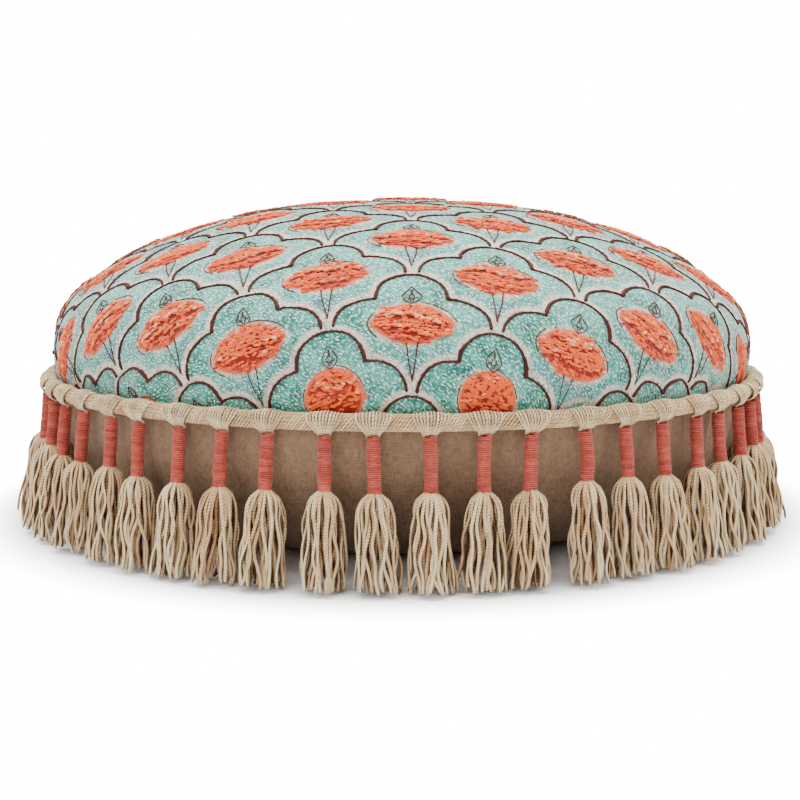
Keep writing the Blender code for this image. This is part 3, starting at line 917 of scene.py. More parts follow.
def clothMaterial():
    material, tree, shader = startMaterial("embroideredCloth", 0.9, 0.32, 0.15)
    uv = tree.nodes.new("ShaderNodeUVMap")
    uv.uv_map = "flat"
    flat = uv.outputs["UV"]
    flecks = placeGroup(tree, fleckGroup, Vector=flat, Fleck_Count=390.0, Pale_Share=0.47)
    fuzz = calc(tree, "MULTIPLY", calc(tree, "SUBTRACT", noise(tree, flat, 520.0, 2.0, 0.6), 0.5), 0.0050)
    over = calc(tree, "ADD", attributeOf(tree, "over"), fuzz)
    under = attributeOf(tree, "under")
    petal = calc(tree, "ADD", attributeOf(tree, "petal"), calc(tree, "MULTIPLY", fuzz, 0.5))
    down = attributeOf(tree, "downCell")
    band = remap(tree, over, 0.0066, 0.0034)
    broad = noise(tree, flat, 26.0, 2.0)
    middle = noise(tree, flat, 95.0, 2.0)
    teal = blendColour(tree, remap(tree, middle, 0.35, 0.66), rgb(6, 98, 86), rgb(56, 158, 142))
    teal = blendColour(tree, remap(tree, broad, 0.38, 0.62, 0.0, 0.34), teal, rgb(112, 190, 176))
    # washed blue-grey in the lower part of each cell
    patches = remap(tree, noise(tree, flat, 60.0, 2.0), 0.42, 0.60)
    wash = calc(tree, "MULTIPLY", remap(tree, down, 0.052, 0.075), patches)
    teal = blendColour(tree, calc(tree, "MULTIPLY", wash, 0.75), teal, rgb(76, 116, 128))
    nearArch = remap(tree, under, 0.006, 0.0, 0.0, 0.35)
    teal = blendColour(tree, nearArch, teal, rgb(28, 118, 102))
    cream = calc(tree, "MULTIPLY", band, remap(tree, middle, 0.3, 0.6, 0.62, 0.98))
    cloth = blendColour(tree, cream, teal, rgb(214, 194, 176))
    halo = remap(tree, middle, 0.40, 0.60, 0.15, 0.55)
    halo = calc(tree, "MULTIPLY", remap(tree, petal, 0.0065, 0.001), halo)
    cloth = blendColour(tree, halo, cloth, rgb(218, 184, 158))
    darkFleck = calc(tree, "MULTIPLY", flecks.outputs["Dark"], 0.60)
    cloth = blendColour(tree, darkFleck, cloth, blendColour(tree, band, rgb(18, 92, 84), rgb(118, 84, 70)))
    cloth = blendColour(tree, calc(tree, "MULTIPLY", flecks.outputs["Pale"], 0.74), cloth, rgb(244, 246, 234))
    # the reddish ground under the knots is darker towards the middle of each flower, so that the gaps between
    # knots show dark: its own colour, deepened by painted shade
    underFlower = remap(tree, petal, 0.0004, -0.0016)
    ground = blendColour(tree, remap(tree, petal, -0.0065, -0.0015), rgb(142, 34, 10), rgb(212, 92, 54))
    cloth = blendColour(tree, underFlower, cloth, ground)
    tree.links.new(cloth, shader.inputs["Base Color"])
    raiseSurface(tree, shader, flecks.outputs["Height"], 0.0011, 0.9)
    return material


def makeUpperCover():
    under, over, petal, downCell = upperFields
    points, faces = closeShell(upperPoints, coverShape["gridAcross"], coverShape["innerAcross"],
                               domeArc, domeRadius, domeHeight, coverShape["thickness"], False)
    extra = len(points) - upperFlat.shape[0] ** 2
    inner = squareGrid(coverShape["innerAcross"])
    innerFlat = np.stack(squareToDisc(*inner), -1).reshape(-1, 2) * domeArc[-1]
    flat = np.concatenate([upperFlat.reshape(-1, 2), innerFlat])
    fields = {name: np.concatenate([values.ravel(), np.full(extra, 0.02)])
              for name, values in (("under", under), ("over", over), ("petal", petal), ("downCell", downCell))}
    piece = gridPiece("upperCover", points, faces, clothMaterial(), flat, fields)
    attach(piece, "cushion")
    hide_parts("top_panel")


makeUpperCover()
print("upper cover made")


# arches, stems and buds in dark thread

threadSetup = dict(arch=0.00122, fine=0.00050, lift=0.0004, stitch=0.0036, seed=31)
threadRandom = np.random.default_rng(threadSetup["seed"])
darkThread = yarnMaterial("darkThread", rgb(38, 12, 8), rgb(96, 40, 26), 700.0, 0.7, 0.0003, 0.05)


def insideCloth(flat, margin=0.004):
    return np.hypot(flat[:, 0], flat[:, 1]) < domeArc[-1] - margin


def clipped(flat, extras):
    # the longest run of the line that lies on the cloth
    inside = insideCloth(flat)
    if not inside.any():
        return None
    edges = np.flatnonzero(np.diff(np.concatenate([[0], inside.astype(int), [0]])))
    runs = sorted(zip(edges[::2], edges[1::2]), key=lambda run: run[1] - run[0])
    first, last = runs[-1]
    return None if last - first < 3 else (flat[first:last], extras[first:last])


def wander(count, size, every):
    # slow sideways drift of a hand-guided line
    knots = threadRandom.normal(0.0, size, max(4, int(count / every) + 3))
    return np.interp(np.linspace(0, len(knots) - 1, count), np.arange(len(knots)), knots)


def makeArches():
    lines = []
    slope = np.gradient(archEdge, axis=0)
    steep = np.abs(slope[:, 1]) / np.maximum(np.hypot(*slope.T), 1e-9)
    notch = np.exp(-((np.abs(archEdge[:, 0]) - pattern["lobeWidth"]) / 0.004) ** 2)
    for x, y in cells:
        flat = archEdge + (x, y)
        flat = flat + np.stack([wander(len(flat), 0.00035, 9), wander(len(flat), 0.0003, 9)], 1)
        count = len(flat)
        along = np.arange(count) * 0.0012
        stitch = 0.86 + 0.14 * np.abs(np.sin(along * math.pi / threadSetup["stitch"] + x * 40))
        thick = threadSetup["arch"] * (0.74 + 0.42 * steep + 0.34 * notch) * stitch
        thick = thick * (1 + wander(count, 0.09, 5))
        kept = clipped(flat, thick)
        if kept is None:
            continue
        flat, thick = kept
        thick = np.maximum(thick, 0.0004)
        thick[0] = thick[-1] = 0.0003
        points, _ = onCloth(flat, np.full(len(flat), threadSetup["lift"]))
        lines.append((points, thick, 0.42 + threadRandom.uniform(-0.14, 0.14)))
    piece = threadPiece("archStitching", lines, darkThread, 6, 0.8, 90.0)
    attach(piece, "cushion")
    return len(lines)


def smoothLine(corners, count):
    # a rounded line through a few corners
    corners = np.asarray(corners, float)
    length = np.concatenate([[0], np.cumsum(np.hypot(*np.diff(corners, axis=0).T))])
    even = np.linspace(0, length[-1], count)
    line = np.stack([np.interp(even, length, corners[:, k]) for k in (0, 1)], 1)
    for _ in range(3):
        line[1:-1] = (line[:-2] + 2 * line[1:-1] + line[2:]) / 4
    return line


def flowerSize(x, y):
    # flowers low on the dome are sewn rounder and smaller across
    low = np.clip((math.hypot(x, y) - 0.315) / 0.03, 0, 1)
    return 1 - 0.24 * low, 1 + 0.18 * low


def makeFineLines():
    lines = []

    def sew(flat, thick=1.0):
        thickness = np.full(len(flat), threadSetup["fine"] * thick) * (1 + wander(len(flat), 0.18, 4))
        kept = clipped(flat, thickness)
        if kept is not None:
            points, _ = onCloth(kept[0], np.full(len(kept[0]), 0.0002))
            lines.append((points, np.maximum(kept[1], 0.0002), 0.5 + threadRandom.uniform(-0.2, 0.2)))

    for x, y in cells:
        centre = np.array([x, y - pattern["flowerDrop"]])
        if math.hypot(*centre) > domeArc[-1] + 0.03:
            continue
        wide, tall = flowerSize(*centre)
        top = pattern["flowerHalfHeight"] * tall
        jitter = threadRandom.normal(0, 0.0006, 8)
        for side in (-1, 1):
            stem = smoothLine([(side * 0.0040 + jitter[0], -top + 0.002), (side * 0.0026, -top - 0.010),
                               (side * 0.0007 + jitter[1], -top - 0.020), (jitter[1], -top - 0.0245)], 24)
            sew(centre + stem)
            bud = smoothLine([(0.0, top - 0.001), (side * 0.0052, top + 0.0026),
                              (side * (0.0060 + jitter[2]), top + 0.0065), (side * 0.0028, top + 0.0112),
                              (jitter[3], top + 0.0152)], 22)
            sew(centre + bud)
            leaf = smoothLine([(side * 0.0004, top + 0.001), (side * 0.0024, top + 0.0060),
                               (side * -0.0014, top + 0.0098), (side * 0.0006, top + 0.0118)], 14)
            sew(centre + leaf, 0.8)
        cup = smoothLine([(-0.0042, top + 0.0052), (0.0, top + 0.0030), (0.0044, top + 0.0055)], 10)
        sew(centre + cup, 0.8)
        start = threadRandom.uniform(0.0, 0.5)
        for first, last in ((start, start + 1.2), (start + 2.5, start + 3.6)):
            turn = np.linspace(first, last, 30)
            ring = np.stack([np.cos(turn) * (pattern["flowerHalfWidth"] * wide + 0.0006),
                             np.sin(turn) * (top + 0.0014)], 1)
            ring[:, 0] *= 1 - 0.10 * np.abs(np.sin(turn)) ** 2
            sew(centre + ring, 0.9)
    piece = threadPiece("stemStitching", lines, darkThread, 4, 0.8, 0.0)
    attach(piece, "cushion")
    return len(lines)


print("arches sewn:", makeArches(), "fine lines:", makeFineLines())


# flowers: rows of thick knotted thread

flowerSetup = dict(rowStep=0.00205, knotStep=0.0026, length=0.0023, width=0.00112, height=0.00082, seed=47)
flowerRandom = np.random.default_rng(flowerSetup["seed"])


def flowerMaterial():
    material, tree, shader = startMaterial("chenilleThread", 0.8, 0.30, 0.2)
    place = tree.nodes.new("ShaderNodeTexCoord").outputs["Object"]
    fibres = placeGroup(tree, fibreGroup, Vector=place, Shade=0.55, Dark=rgb(208, 44, 0),
                        Light=rgb(255, 116, 22), Fibre_Count=900.0)
    shade = attributeOf(tree, "shade")
    # a high shade turns a knot peach and a low shade dark red; the shade carries a painted highlight on ridges
    # and painted shade in creases
    colour = blendColour(tree, remap(tree, shade, 0.68, 1.0), fibres.outputs["Color"], rgb(255, 190, 136))
    colour = blendColour(tree, remap(tree, shade, 0.30, 0.08), colour, rgb(166, 30, 8))
    tree.links.new(colour, shader.inputs["Base Color"])
    raiseSurface(tree, shader, fibres.outputs["Height"], 0.0006)
    return material


def makeFlowers():
    spots, outward, heading, shades, groups = [], [], [], [], []
    for number, (x, y) in enumerate(cells):
        centre = np.array([x, y - pattern["flowerDrop"]])
        if math.hypot(*centre) > domeArc[-1] + 0.025:
            continue
        wide, tall = flowerSize(*centre)
        high = wide > 0.99
        halfWidth, halfHeight = pattern["flowerHalfWidth"] * wide, pattern["flowerHalfHeight"] * tall
        bow = flowerRandom.uniform(0.10, 0.22)
        tilt = flowerRandom.uniform(-0.10, 0.10)
        layers = np.sort(flowerRandom.uniform(-0.7, 0.7, 3))
        petals = flowerRandom.integers(6, 9)
        petalTurn = flowerRandom.uniform(0, 2 * math.pi)
        for dy in np.arange(-halfHeight, halfHeight, flowerSetup["rowStep"]):
            count = int(2 * halfWidth / flowerSetup["knotStep"])
            dx = np.linspace(-halfWidth, halfWidth, count) + flowerRandom.uniform(-0.001, 0.001)
            dx = dx + flowerRandom.normal(0, 0.0004, count)
            line = dy + bow * halfHeight * (1 - (dx / halfWidth) ** 2) * (0.6 - abs(dy) / halfHeight)
            line = line + flowerRandom.normal(0, 0.00035, count)
            sx, sy = dx / halfWidth, line / halfHeight
            scallop = 0.13 * (1 - np.cos(np.arctan2(sy, sx) * petals + petalTurn))
            reach = 1 - scallop + flowerRandom.normal(0, 0.05, count)
            lens = lensSize(sx, sy, 0.15 if high else 0.9) < reach
            dx, line, sx, sy = dx[lens], line[lens], sx[lens], sy[lens]
            if not len(dx):
                continue
            flat = centre + np.stack([dx, line + tilt * dx], 1)
            keep = insideCloth(flat, 0.006)
            flat, dx, sx, sy = flat[keep], dx[keep], sx[keep], sy[keep]
            if not len(dx):
                continue
            above = np.array([sy - layer - 0.12 * np.sin(sx * 4 + layer * 9) for layer in layers])
            ridge = np.exp(-(above / 0.10) ** 2).max(0)
            crease = np.exp(-((above + 0.17) / 0.07) ** 2).max(0)
            swell = np.sqrt(np.maximum(0, 1 - sx ** 2 - sy ** 2 * 0.8))
            lift = 0.0001 + 0.0006 * swell + 0.0008 * ridge - 0.0007 * crease
            lift = lift * np.clip((0.350 - np.hypot(flat[:, 0], flat[:, 1])) / 0.050, 0.25, 1)
            # knots are left out here and there along a crease, where the ground shows
            cluster = np.sin(dx * 620 + petalTurn) * np.sin((flat[:, 1] - centre[1]) * 700 + 2 * petalTurn)
            kept = (crease < 0.6) | (flowerRandom.random(len(flat)) < 0.5)
            kept = kept & (cluster < (0.80 if high else 0.45))
            flat, sx, sy, ridge, crease, lift, cluster = (
                values[kept] for values in (flat, sx, sy, ridge, crease, lift, cluster))
            if not len(flat):
                continue
            spot, normal = onCloth(flat, lift)
            ahead, _ = onCloth(flat + (0.001, 0.0), lift)
            way = (ahead - spot) / 0.001
            side = np.cross(normal, way)
            turn = flowerRandom.normal(0, 0.34, len(spot))[:, None]
            # knot shade: lighter towards the top of each flower and at its upper sides, with random spread; a
            # painted highlight on the ridges of the tiers, painted shade in the creases between them and on
            # the knots beside the gaps; flowers low on the dome are a little darker
            shade = 0.47 + 0.24 * sy + 0.30 * ridge - 0.36 * crease + flowerRandom.normal(0, 0.15, len(spot))
            shade = shade + 0.64 * np.maximum(0, np.abs(sx) - 0.75) * (sy > -0.2)
            shade = shade - 0.26 * np.clip(cluster, 0, 1)
            spots.append(spot)
            outward.append(normal)
            heading.append(way * np.cos(turn) + side * np.sin(turn))
            shades.append(np.clip(shade - 0.10 * (wide < 0.9), 0, 1))
            groups.append(np.full(len(spot), number % 3))
    spots, outward, heading = np.concatenate(spots), np.concatenate(outward), np.concatenate(heading)
    shades, groups = np.concatenate(shades), np.concatenate(groups)
    material = flowerMaterial()
    for group, name in enumerate(("flowersA", "flowersB", "flowersC")):
        chosen = groups == group
        mesh = bpy.data.meshes.new("knots")
        mesh.from_pydata(spots[chosen].tolist(), [], [])
        for label, values in (("outward", outward), ("heading", heading), ("shade", shades)):
            storeOnPoints(mesh, label, values[chosen])
        values = {"Length": flowerSetup["length"], "Width": flowerSetup["width"],
                  "Height": flowerSetup["height"], "Unevenness": 0.22, "Seed": 5 + group, "Material": material}
        piece = runTree(name, mesh, knotTree, values)
        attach(piece, "cushion")
    return len(spots)


print("flower knots:", makeFlowers())


# lower cover, lining and filling

lowerSetup = dict(gathers=92, gatherDepth=0.0013, gatherReach=0.045, thickness=0.0012)
zipSetup = dict(height=0.030, arcDegrees=84.0, halfWidth=0.0110, gap=0.0004, thickness=0.0009,
                toothPitch=0.0011, toothLength=0.0021, toothWidth=0.0004, toothHeight=0.00062)
zipArc = float(np.interp(zipSetup["height"], baseHeight[1:], baseArc[1:]))


def canvasMaterial():
    material, tree, shader = startMaterial("taupeCanvas", 0.92, 0.1, 0.15)
    uv = tree.nodes.new("ShaderNodeUVMap")
    uv.uv_map = "flat"
    weave = placeGroup(tree, weaveGroup, Vector=uv.outputs["UV"], Threads=900.0)
    mottle = remap(tree, weave.outputs["Mottle"], 0.36, 0.64)
    colour = blendColour(tree, mottle, rgb(130, 101, 77), rgb(160, 131, 105))
    broad = noise(tree, uv.outputs["UV"], 14.0, 2.0)
    colour = blendColour(tree, remap(tree, broad, 0.4, 0.65, 0.0, 0.4), colour, rgb(112, 84, 64))
    # the gaps between the woven threads are darkened: painted shade
    weaveGapShade = remap(tree, weave.outputs["Height"], 0.35, 0.0, 0.0, 0.22)
    colour = blendColour(tree, weaveGapShade, colour, rgb(98, 74, 58))
    tree.links.new(colour, shader.inputs["Base Color"])
    raiseSurface(tree, shader, weave.outputs["Height"], 0.0004, 0.7)
    return material


def makeLowerCover():
    count = coverShape["lowerAcross"]
    x, y = squareGrid(count)
    u, v = squareToDisc(x, y)
    flat = np.stack([u, v], -1) * baseArc[-1]
    points = overProfile(flat, baseArc, baseRadius, baseHeight)
    distance = np.hypot(flat[..., 0], flat[..., 1])
    angle = np.arctan2(flat[..., 1], flat[..., 0])
    # the cloth lies flat under the zip
    behind = np.clip((60 - np.abs(np.degrees(angle) - 90)) / 12, 0, 1)
    atZip = np.exp(-((distance - zipArc) / 0.022) ** 4) * behind
    points = points + smoothGrid(sampleGrid(lowerMove, x, y), 2) * (1 - atZip)[..., None]
    fromSeam = (baseArc[-1] - distance) / lowerSetup["gatherReach"]
    strength = np.exp(-fromSeam ** 2) * np.clip((baseArc[-1] - distance) / 0.006, 0, 1)
    fold = np.sin(angle * lowerSetup["gathers"] + 2.3 * np.sin(angle * 9) + 1.1 * np.sin(angle * 23 + 1))
    slow = np.sin(angle * 17 + 1.9 * np.sin(angle * 5))
    slow = slow * np.clip(fromSeam, 0, 1) * np.clip(1.9 - fromSeam, 0, 1)
    gradient = np.gradient(points, axis=1), np.gradient(points, axis=0)
    normal = -np.cross(gradient[0], gradient[1])
    normal = normal / np.maximum(np.linalg.norm(normal, axis=-1, keepdims=True), 1e-12)
    relief = lowerSetup["gatherDepth"] * fold * strength + 0.0016 * slow - 0.0004
    points = points + normal * relief[..., None]
    points[..., 2] = np.maximum(points[..., 2], 0.0003)
    thickness = lowerSetup["thickness"] + 0.003
    shell, faces = closeShell(points, count, 50, baseArc, baseRadius, baseHeight, thickness, True)
    innerFlat = np.stack(squareToDisc(*squareGrid(50)), -1).reshape(-1, 2) * baseArc[-1]
    flat = np.concatenate([flat.reshape(-1, 2), innerFlat])
    piece = gridPiece("lowerCover", shell, faces, canvasMaterial(), flat)
    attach(piece, "cushion")
    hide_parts("bottom_panel")


def hiddenMaterial(name, dark, light, threads):
    material, tree, shader = startMaterial(name, 0.95, 0.1, 0.1)
    place = tree.nodes.new("ShaderNodeTexCoord").outputs["Object"]
    weave = placeGroup(tree, weaveGroup, Vector=place, Threads=threads)
    colour = blendColour(tree, remap(tree, weave.outputs["Mottle"], 0.35, 0.65), dark, light)
    tree.links.new(colour, shader.inputs["Base Color"])
    raiseSurface(tree, shader, weave.outputs["Height"], 0.0004, 0.6)
    return material


def makeInnerBody(name, node, inset, material, lumps):
    # a closed soft body a little inside the covers
    dome, base = np.stack([domeRadius, domeHeight], 1), np.stack([baseRadius, baseHeight], 1)
    rings = np.concatenate([dome[::60], base[::-45]])
    low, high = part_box(node)
    widest, top = rings[:, 0].max(), min(high.z, domeHeight.max() - inset)
    scaleRadius = min((high.x - low.x) / 2, widest - inset) / widest
    spanLow, spanHigh = rings[:, 1].min(), rings[:, 1].max()
    heights = low.z + (rings[:, 1] - spanLow) / (spanHigh - spanLow) * (top - low.z)
    sides = 96
    angle = np.linspace(0, 2 * math.pi, sides, endpoint=False)
    wave = 1 + lumps * np.sin(angle * 11 + 1.3 * np.sin(angle * 4)) - lumps
    points = [(0.0, 0.0, top)]
    body = rings[1:-1]
    for radius, height in zip(body[:, 0] * scaleRadius * 0.999, heights[1:-1]):
        reach = radius * wave
        points += np.stack([reach * np.cos(angle), reach * np.sin(angle), np.full(sides, height)], 1).tolist()
    points.append((0.0, 0.0, low.z))
    faces = []
    last = len(points) - 1
    for k in range(sides):
        n = (k + 1) % sides
        faces.append((0, 1 + k, 1 + n))
        for ring in range(len(body) - 1):
            a, b = 1 + ring * sides, 1 + (ring + 1) * sides
            faces.append((a + k, b + k, b + n, a + n))
        a = 1 + (len(body) - 1) * sides
        faces.append((a + n, a + k, last))
    piece = gridPiece(name, np.array(points), faces, material)
    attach(piece, "cushion")
    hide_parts(node)


makeLowerCover()
muslin = hiddenMaterial("muslinCloth", rgb(214, 206, 190), rgb(238, 232, 220), 500.0)
makeInnerBody("muslinLining", "inner_liner", 0.0022, muslin, 0.0015)
fibre = hiddenMaterial("fibreFilling", rgb(226, 226, 222), rgb(246, 246, 244), 160.0)
makeInnerBody("fibreFilling", "filling", 0.0034, fibre, 0.003)
print("lower cover, lining and filling made")


# zip across the back: a woven tape and its coil of teeth

def onBase(azimuth, arc, lift):
    # a place on the lower cover's outline, lifted off it, with the directions out of it and up along it
    step = 0.0005
    radius, height = np.interp(arc, baseArc, baseRadius), np.interp(arc, baseArc, baseHeight)
    riseRadius = np.interp(arc + step, baseArc, baseRadius) - np.interp(arc - step, baseArc, baseRadius)
    riseHeight = np.interp(arc + step, baseArc, baseHeight) - np.interp(arc - step, baseArc, baseHeight)
    length = np.hypot(riseRadius, riseHeight)
    outRadius, outHeight = riseHeight / length, -riseRadius / length
    c, s = np.cos(azimuth), np.sin(azimuth)
    middle = radius + outRadius * lift
    spot = np.stack([middle * c, middle * s, height + outHeight * lift + 0 * azimuth], -1)
    outward = np.stack([outRadius * c, outRadius * s, outHeight + 0 * azimuth], -1)
    outwards, upwards = riseRadius / length, riseHeight / length
    upward = np.stack([outwards * c, outwards * s, upwards + 0 * azimuth], -1)
    return spot, outward, upward


def tapeMaterial():
    material, tree, shader = startMaterial("zipTapeWeave", 0.88, 0.1, 0.2)
    uv = tree.nodes.new("ShaderNodeUVMap")
    uv.uv_map = "flat"
    weave = placeGroup(tree, weaveGroup, Vector=uv.outputs["UV"], Threads=1600.0)
    mottle = remap(tree, weave.outputs["Mottle"], 0.36, 0.64)
    colour = blendColour(tree, mottle, rgb(112, 88, 70), rgb(146, 120, 98))
    tree.links.new(colour, shader.inputs["Base Color"])
    raiseSurface(tree, shader, weave.outputs["Height"], 0.0003, 0.7)
    return material


def makeZip():
    half = math.radians(zipSetup["arcDegrees"] / 2)
    azimuth = np.linspace(math.pi / 2 - half, math.pi / 2 + half, 171)
    across = np.linspace(-zipSetup["halfWidth"], zipSetup["halfWidth"], 13)
    gridAzimuth, gridAcross = np.meshgrid(azimuth, across, indexing="ij")
    outer, _, _ = onBase(gridAzimuth, zipArc + gridAcross, zipSetup["gap"] + zipSetup["thickness"]
                         - 0.0003 * (np.abs(gridAcross) > zipSetup["halfWidth"] * 0.95))
    inner, _, _ = onBase(gridAzimuth, zipArc + gridAcross, zipSetup["gap"])
    rows, columns = gridAzimuth.shape
    i, j = np.meshgrid(np.arange(rows - 1), np.arange(columns - 1), indexing="ij")
    a = (i * columns + j).ravel()
    front = np.stack([a, a + 1, a + columns + 1, a + columns], 1)
    size = rows * columns
    low, right = np.arange(columns), np.arange(1, rows) * columns + columns - 1
    high, left = (rows - 1) * columns + np.arange(columns - 2, -1, -1), np.arange(rows - 2, 0, -1) * columns
    edge = np.concatenate([low, right, high, left])
    after = np.roll(edge, -1)
    rim = np.stack([after, edge, edge + size, after + size], 1)
    faces = front[:, ::-1].tolist() + (front + size).tolist() + rim[:, ::-1].tolist()
    flat = np.stack([gridAzimuth * 0.2536, gridAcross], -1).reshape(-1, 2)
    points = np.concatenate([outer.reshape(-1, 3), inner.reshape(-1, 3)])
    tape = gridPiece("zipTape", points, faces, tapeMaterial(), np.concatenate([flat, flat]))
    middle = azimuth[len(azimuth) // 2]
    centre = tape.data.polygons[(rows // 2) * (columns - 1) + 6]
    if centre.normal.x * math.cos(middle) + centre.normal.y * math.sin(middle) < 0:
        tape.data.flip_normals()
    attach(tape, "cushion")
    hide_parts("zip_tape")
    count = int((2 * half - 0.03) * 0.2536 / zipSetup["toothPitch"])
    place = np.linspace(azimuth[0] + 0.015, azimuth[-1] - 0.015, count)
    lift = zipSetup["gap"] + zipSetup["thickness"] + 0.00045
    spots, outward, upward = onBase(place, np.full(count, zipArc), lift)
    lean = 0.25 * np.where(np.arange(count) % 2, 1, -1)[:, None]
    heading = upward + lean * np.cross(outward, upward)
    mesh = bpy.data.meshes.new("teeth")
    mesh.from_pydata(spots.tolist(), [], [])
    for label, values in (("outward", outward), ("heading", heading), ("shade", np.full(count, 0.5))):
        storeOnPoints(mesh, label, values)
    coil = yarnMaterial("zipCoil", rgb(92, 70, 54), rgb(150, 124, 100), 500.0, 0.45, 0.0001, 0.0)
    values = {"Length": zipSetup["toothLength"], "Width": zipSetup["toothWidth"],
              "Height": zipSetup["toothHeight"], "Unevenness": 0.02, "Seed": 3, "Material": coil}
    teeth = runTree("zipTeeth", mesh, knotTree, values)
    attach(teeth, "cushion")


makeZip()
print("zip made")


# rope round the seam

ropeSetup = dict(radius=0.2918, height=0.111, yarns=10, yarnRadius=0.00098, coreRadius=0.0051, turns=72,
                 inward=0.0016, fanYarns=11, fanRadius=0.0071, fanSpread=0.00225, seed=59)
ropeRandom = np.random.default_rng(ropeSetup["seed"])
# the third colour is painted shade for the sides of the yarns and the grooves between their plies
ropeYarn = yarnMaterial("creamCotton", rgb(172, 118, 64), rgb(255, 236, 190), 1000.0, 0.88, 0.0004, 0.15,
                        rgb(112, 72, 40), 150.0)
tassels = [joint for joint in frame["joints"] if joint["name"].startswith("tassel")]


def azimuthOf(joint):
    return math.atan2(joint["pos_m"][1], joint["pos_m"][0])


def aroundRope(azimuth, turn, distance, middle, height):
    # a point beside the rope's centre line: turn 0 is straight below it and a quarter turn is outwards
    out = middle + distance * np.sin(turn)
    return np.stack([out * np.cos(azimuth), out * np.sin(azimuth), height - distance * np.cos(turn)], -1)


def makeRope():
    lines = []
    count = 1500
    middle = ropeSetup["radius"] - ropeSetup["inward"]
    for number in range(ropeSetup["yarns"]):
        azimuth = np.linspace(0, 2 * math.pi, count)
        sway = 0.25 * np.sin(azimuth * 13 + 1) + 0.15 * np.sin(azimuth * 31)
        turn = azimuth * ropeSetup["turns"] + 2 * math.pi * number / ropeSetup["yarns"] + sway
        # the rope's own yarns get a lower shade than the fan yarns laid over them: painted shade, with a
        # random spread
        shade = 0.44 + ropeRandom.uniform(-0.14, 0.14)
        lines.append((aroundRope(azimuth, turn, ropeSetup["coreRadius"], middle, ropeSetup["height"]),
                      ropeSetup["yarnRadius"], shade, aroundRope(azimuth, turn, 1.0, 0.0, 0.0)))
    # a dark core inside the yarns that shows in the gaps between them: painted shade
    core = np.linspace(0, 2 * math.pi, 200)
    lines.append((aroundRope(core, core * 0, 0.0, middle, ropeSetup["height"]), 0.0046, 0.2))
    piece = threadPiece("ropeYarns", lines, ropeYarn, 5, 1.0, 0.0)
    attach(piece, "cushion")
    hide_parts("girth_rope")

    fans = []
    half = (ropeSetup["fanYarns"] - 1) / 2
    for joint in tassels:
        azimuth = azimuthOf(joint)
        lean = ropeRandom.uniform(-0.9, 0.9)
        for number in range(ropeSetup["fanYarns"]):
            place = number - half
            turn = np.radians(np.concatenate([[4.0, 6.0, 9.0, 16.0], np.linspace(30.0, 248.0, 11)]))
            opened = np.clip(turn / 2.4, 0, 1)
            opened = opened * opened * (3 - 2 * opened)
            spacing = 0.00078 + (ropeSetup["fanSpread"] - 0.00078) * opened
            along = place * spacing + lean * 0.001 * opened
            along = along + ropeRandom.normal(0, 0.00012)
            distance = ropeSetup["fanRadius"] - 0.00019 * abs(place) ** 1.25 * opened
            distance = distance + ropeRandom.uniform(-0.00012, 0.00012)
            distance = distance + np.concatenate([[0.0013, 0.0009, 0.0004, 0.0001], np.zeros(11)])
            points = aroundRope(azimuth + along / ropeSetup["radius"], turn, distance, ropeSetup["radius"],
                                ropeSetup["height"])
            outward = aroundRope(azimuth + along / ropeSetup["radius"], turn, 1.0, 0.0, 0.0)
            fans.append((points, ropeSetup["yarnRadius"], 0.58 + ropeRandom.uniform(-0.22, 0.22), outward))
    piece = threadPiece("ropeFans", fans, ropeYarn, 6, 0.85, 60.0)
    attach(piece, "cushion")


makeRope()
print("rope and its fans made")


# tassels

tasselSetup = dict(lean=6.0, neckTop=0.0088, neckLength=0.039, wrapRadius=0.0043, threadRadius=0.00058,
                   wrapPitch=0.00124, strands=38, strandRadius=0.00122, strandPoints=26, shoulder=0.0112,
                   middle=0.0128, end=0.0149, floorGap=0.0006, sideTilt=2.4, seed=83)
# the binding's third colour is painted shade for the sides of each wound turn
bindingYarn = yarnMaterial("coralBinding", rgb(148, 44, 34), rgb(230, 112, 92), 1000.0, 0.8, 0.0004, 0.12,
                           rgb(112, 26, 18))
# the skirt's third colour is painted shade for the sides of the strands and the grooves between their plies
skirtYarn = yarnMaterial("naturalCotton", rgb(190, 126, 68), rgb(255, 238, 192), 1000.0, 0.88, 0.0005, 0.15,
                         rgb(98, 62, 34), 230.0)


def tasselFrame(joint):
    azimuth = azimuthOf(joint)
    lean = math.radians(tasselSetup["lean"])
    out = np.array([math.cos(azimuth), math.sin(azimuth), 0.0])
    side = np.array([-math.sin(azimuth), math.cos(azimuth), 0.0])
    up = np.array([0.0, 0.0, 1.0])
    down = -up * math.cos(lean) + out * math.sin(lean)
    front = out * math.cos(lean) + up * math.sin(lean)
    return np.array(joint["pos_m"]), down, front, side


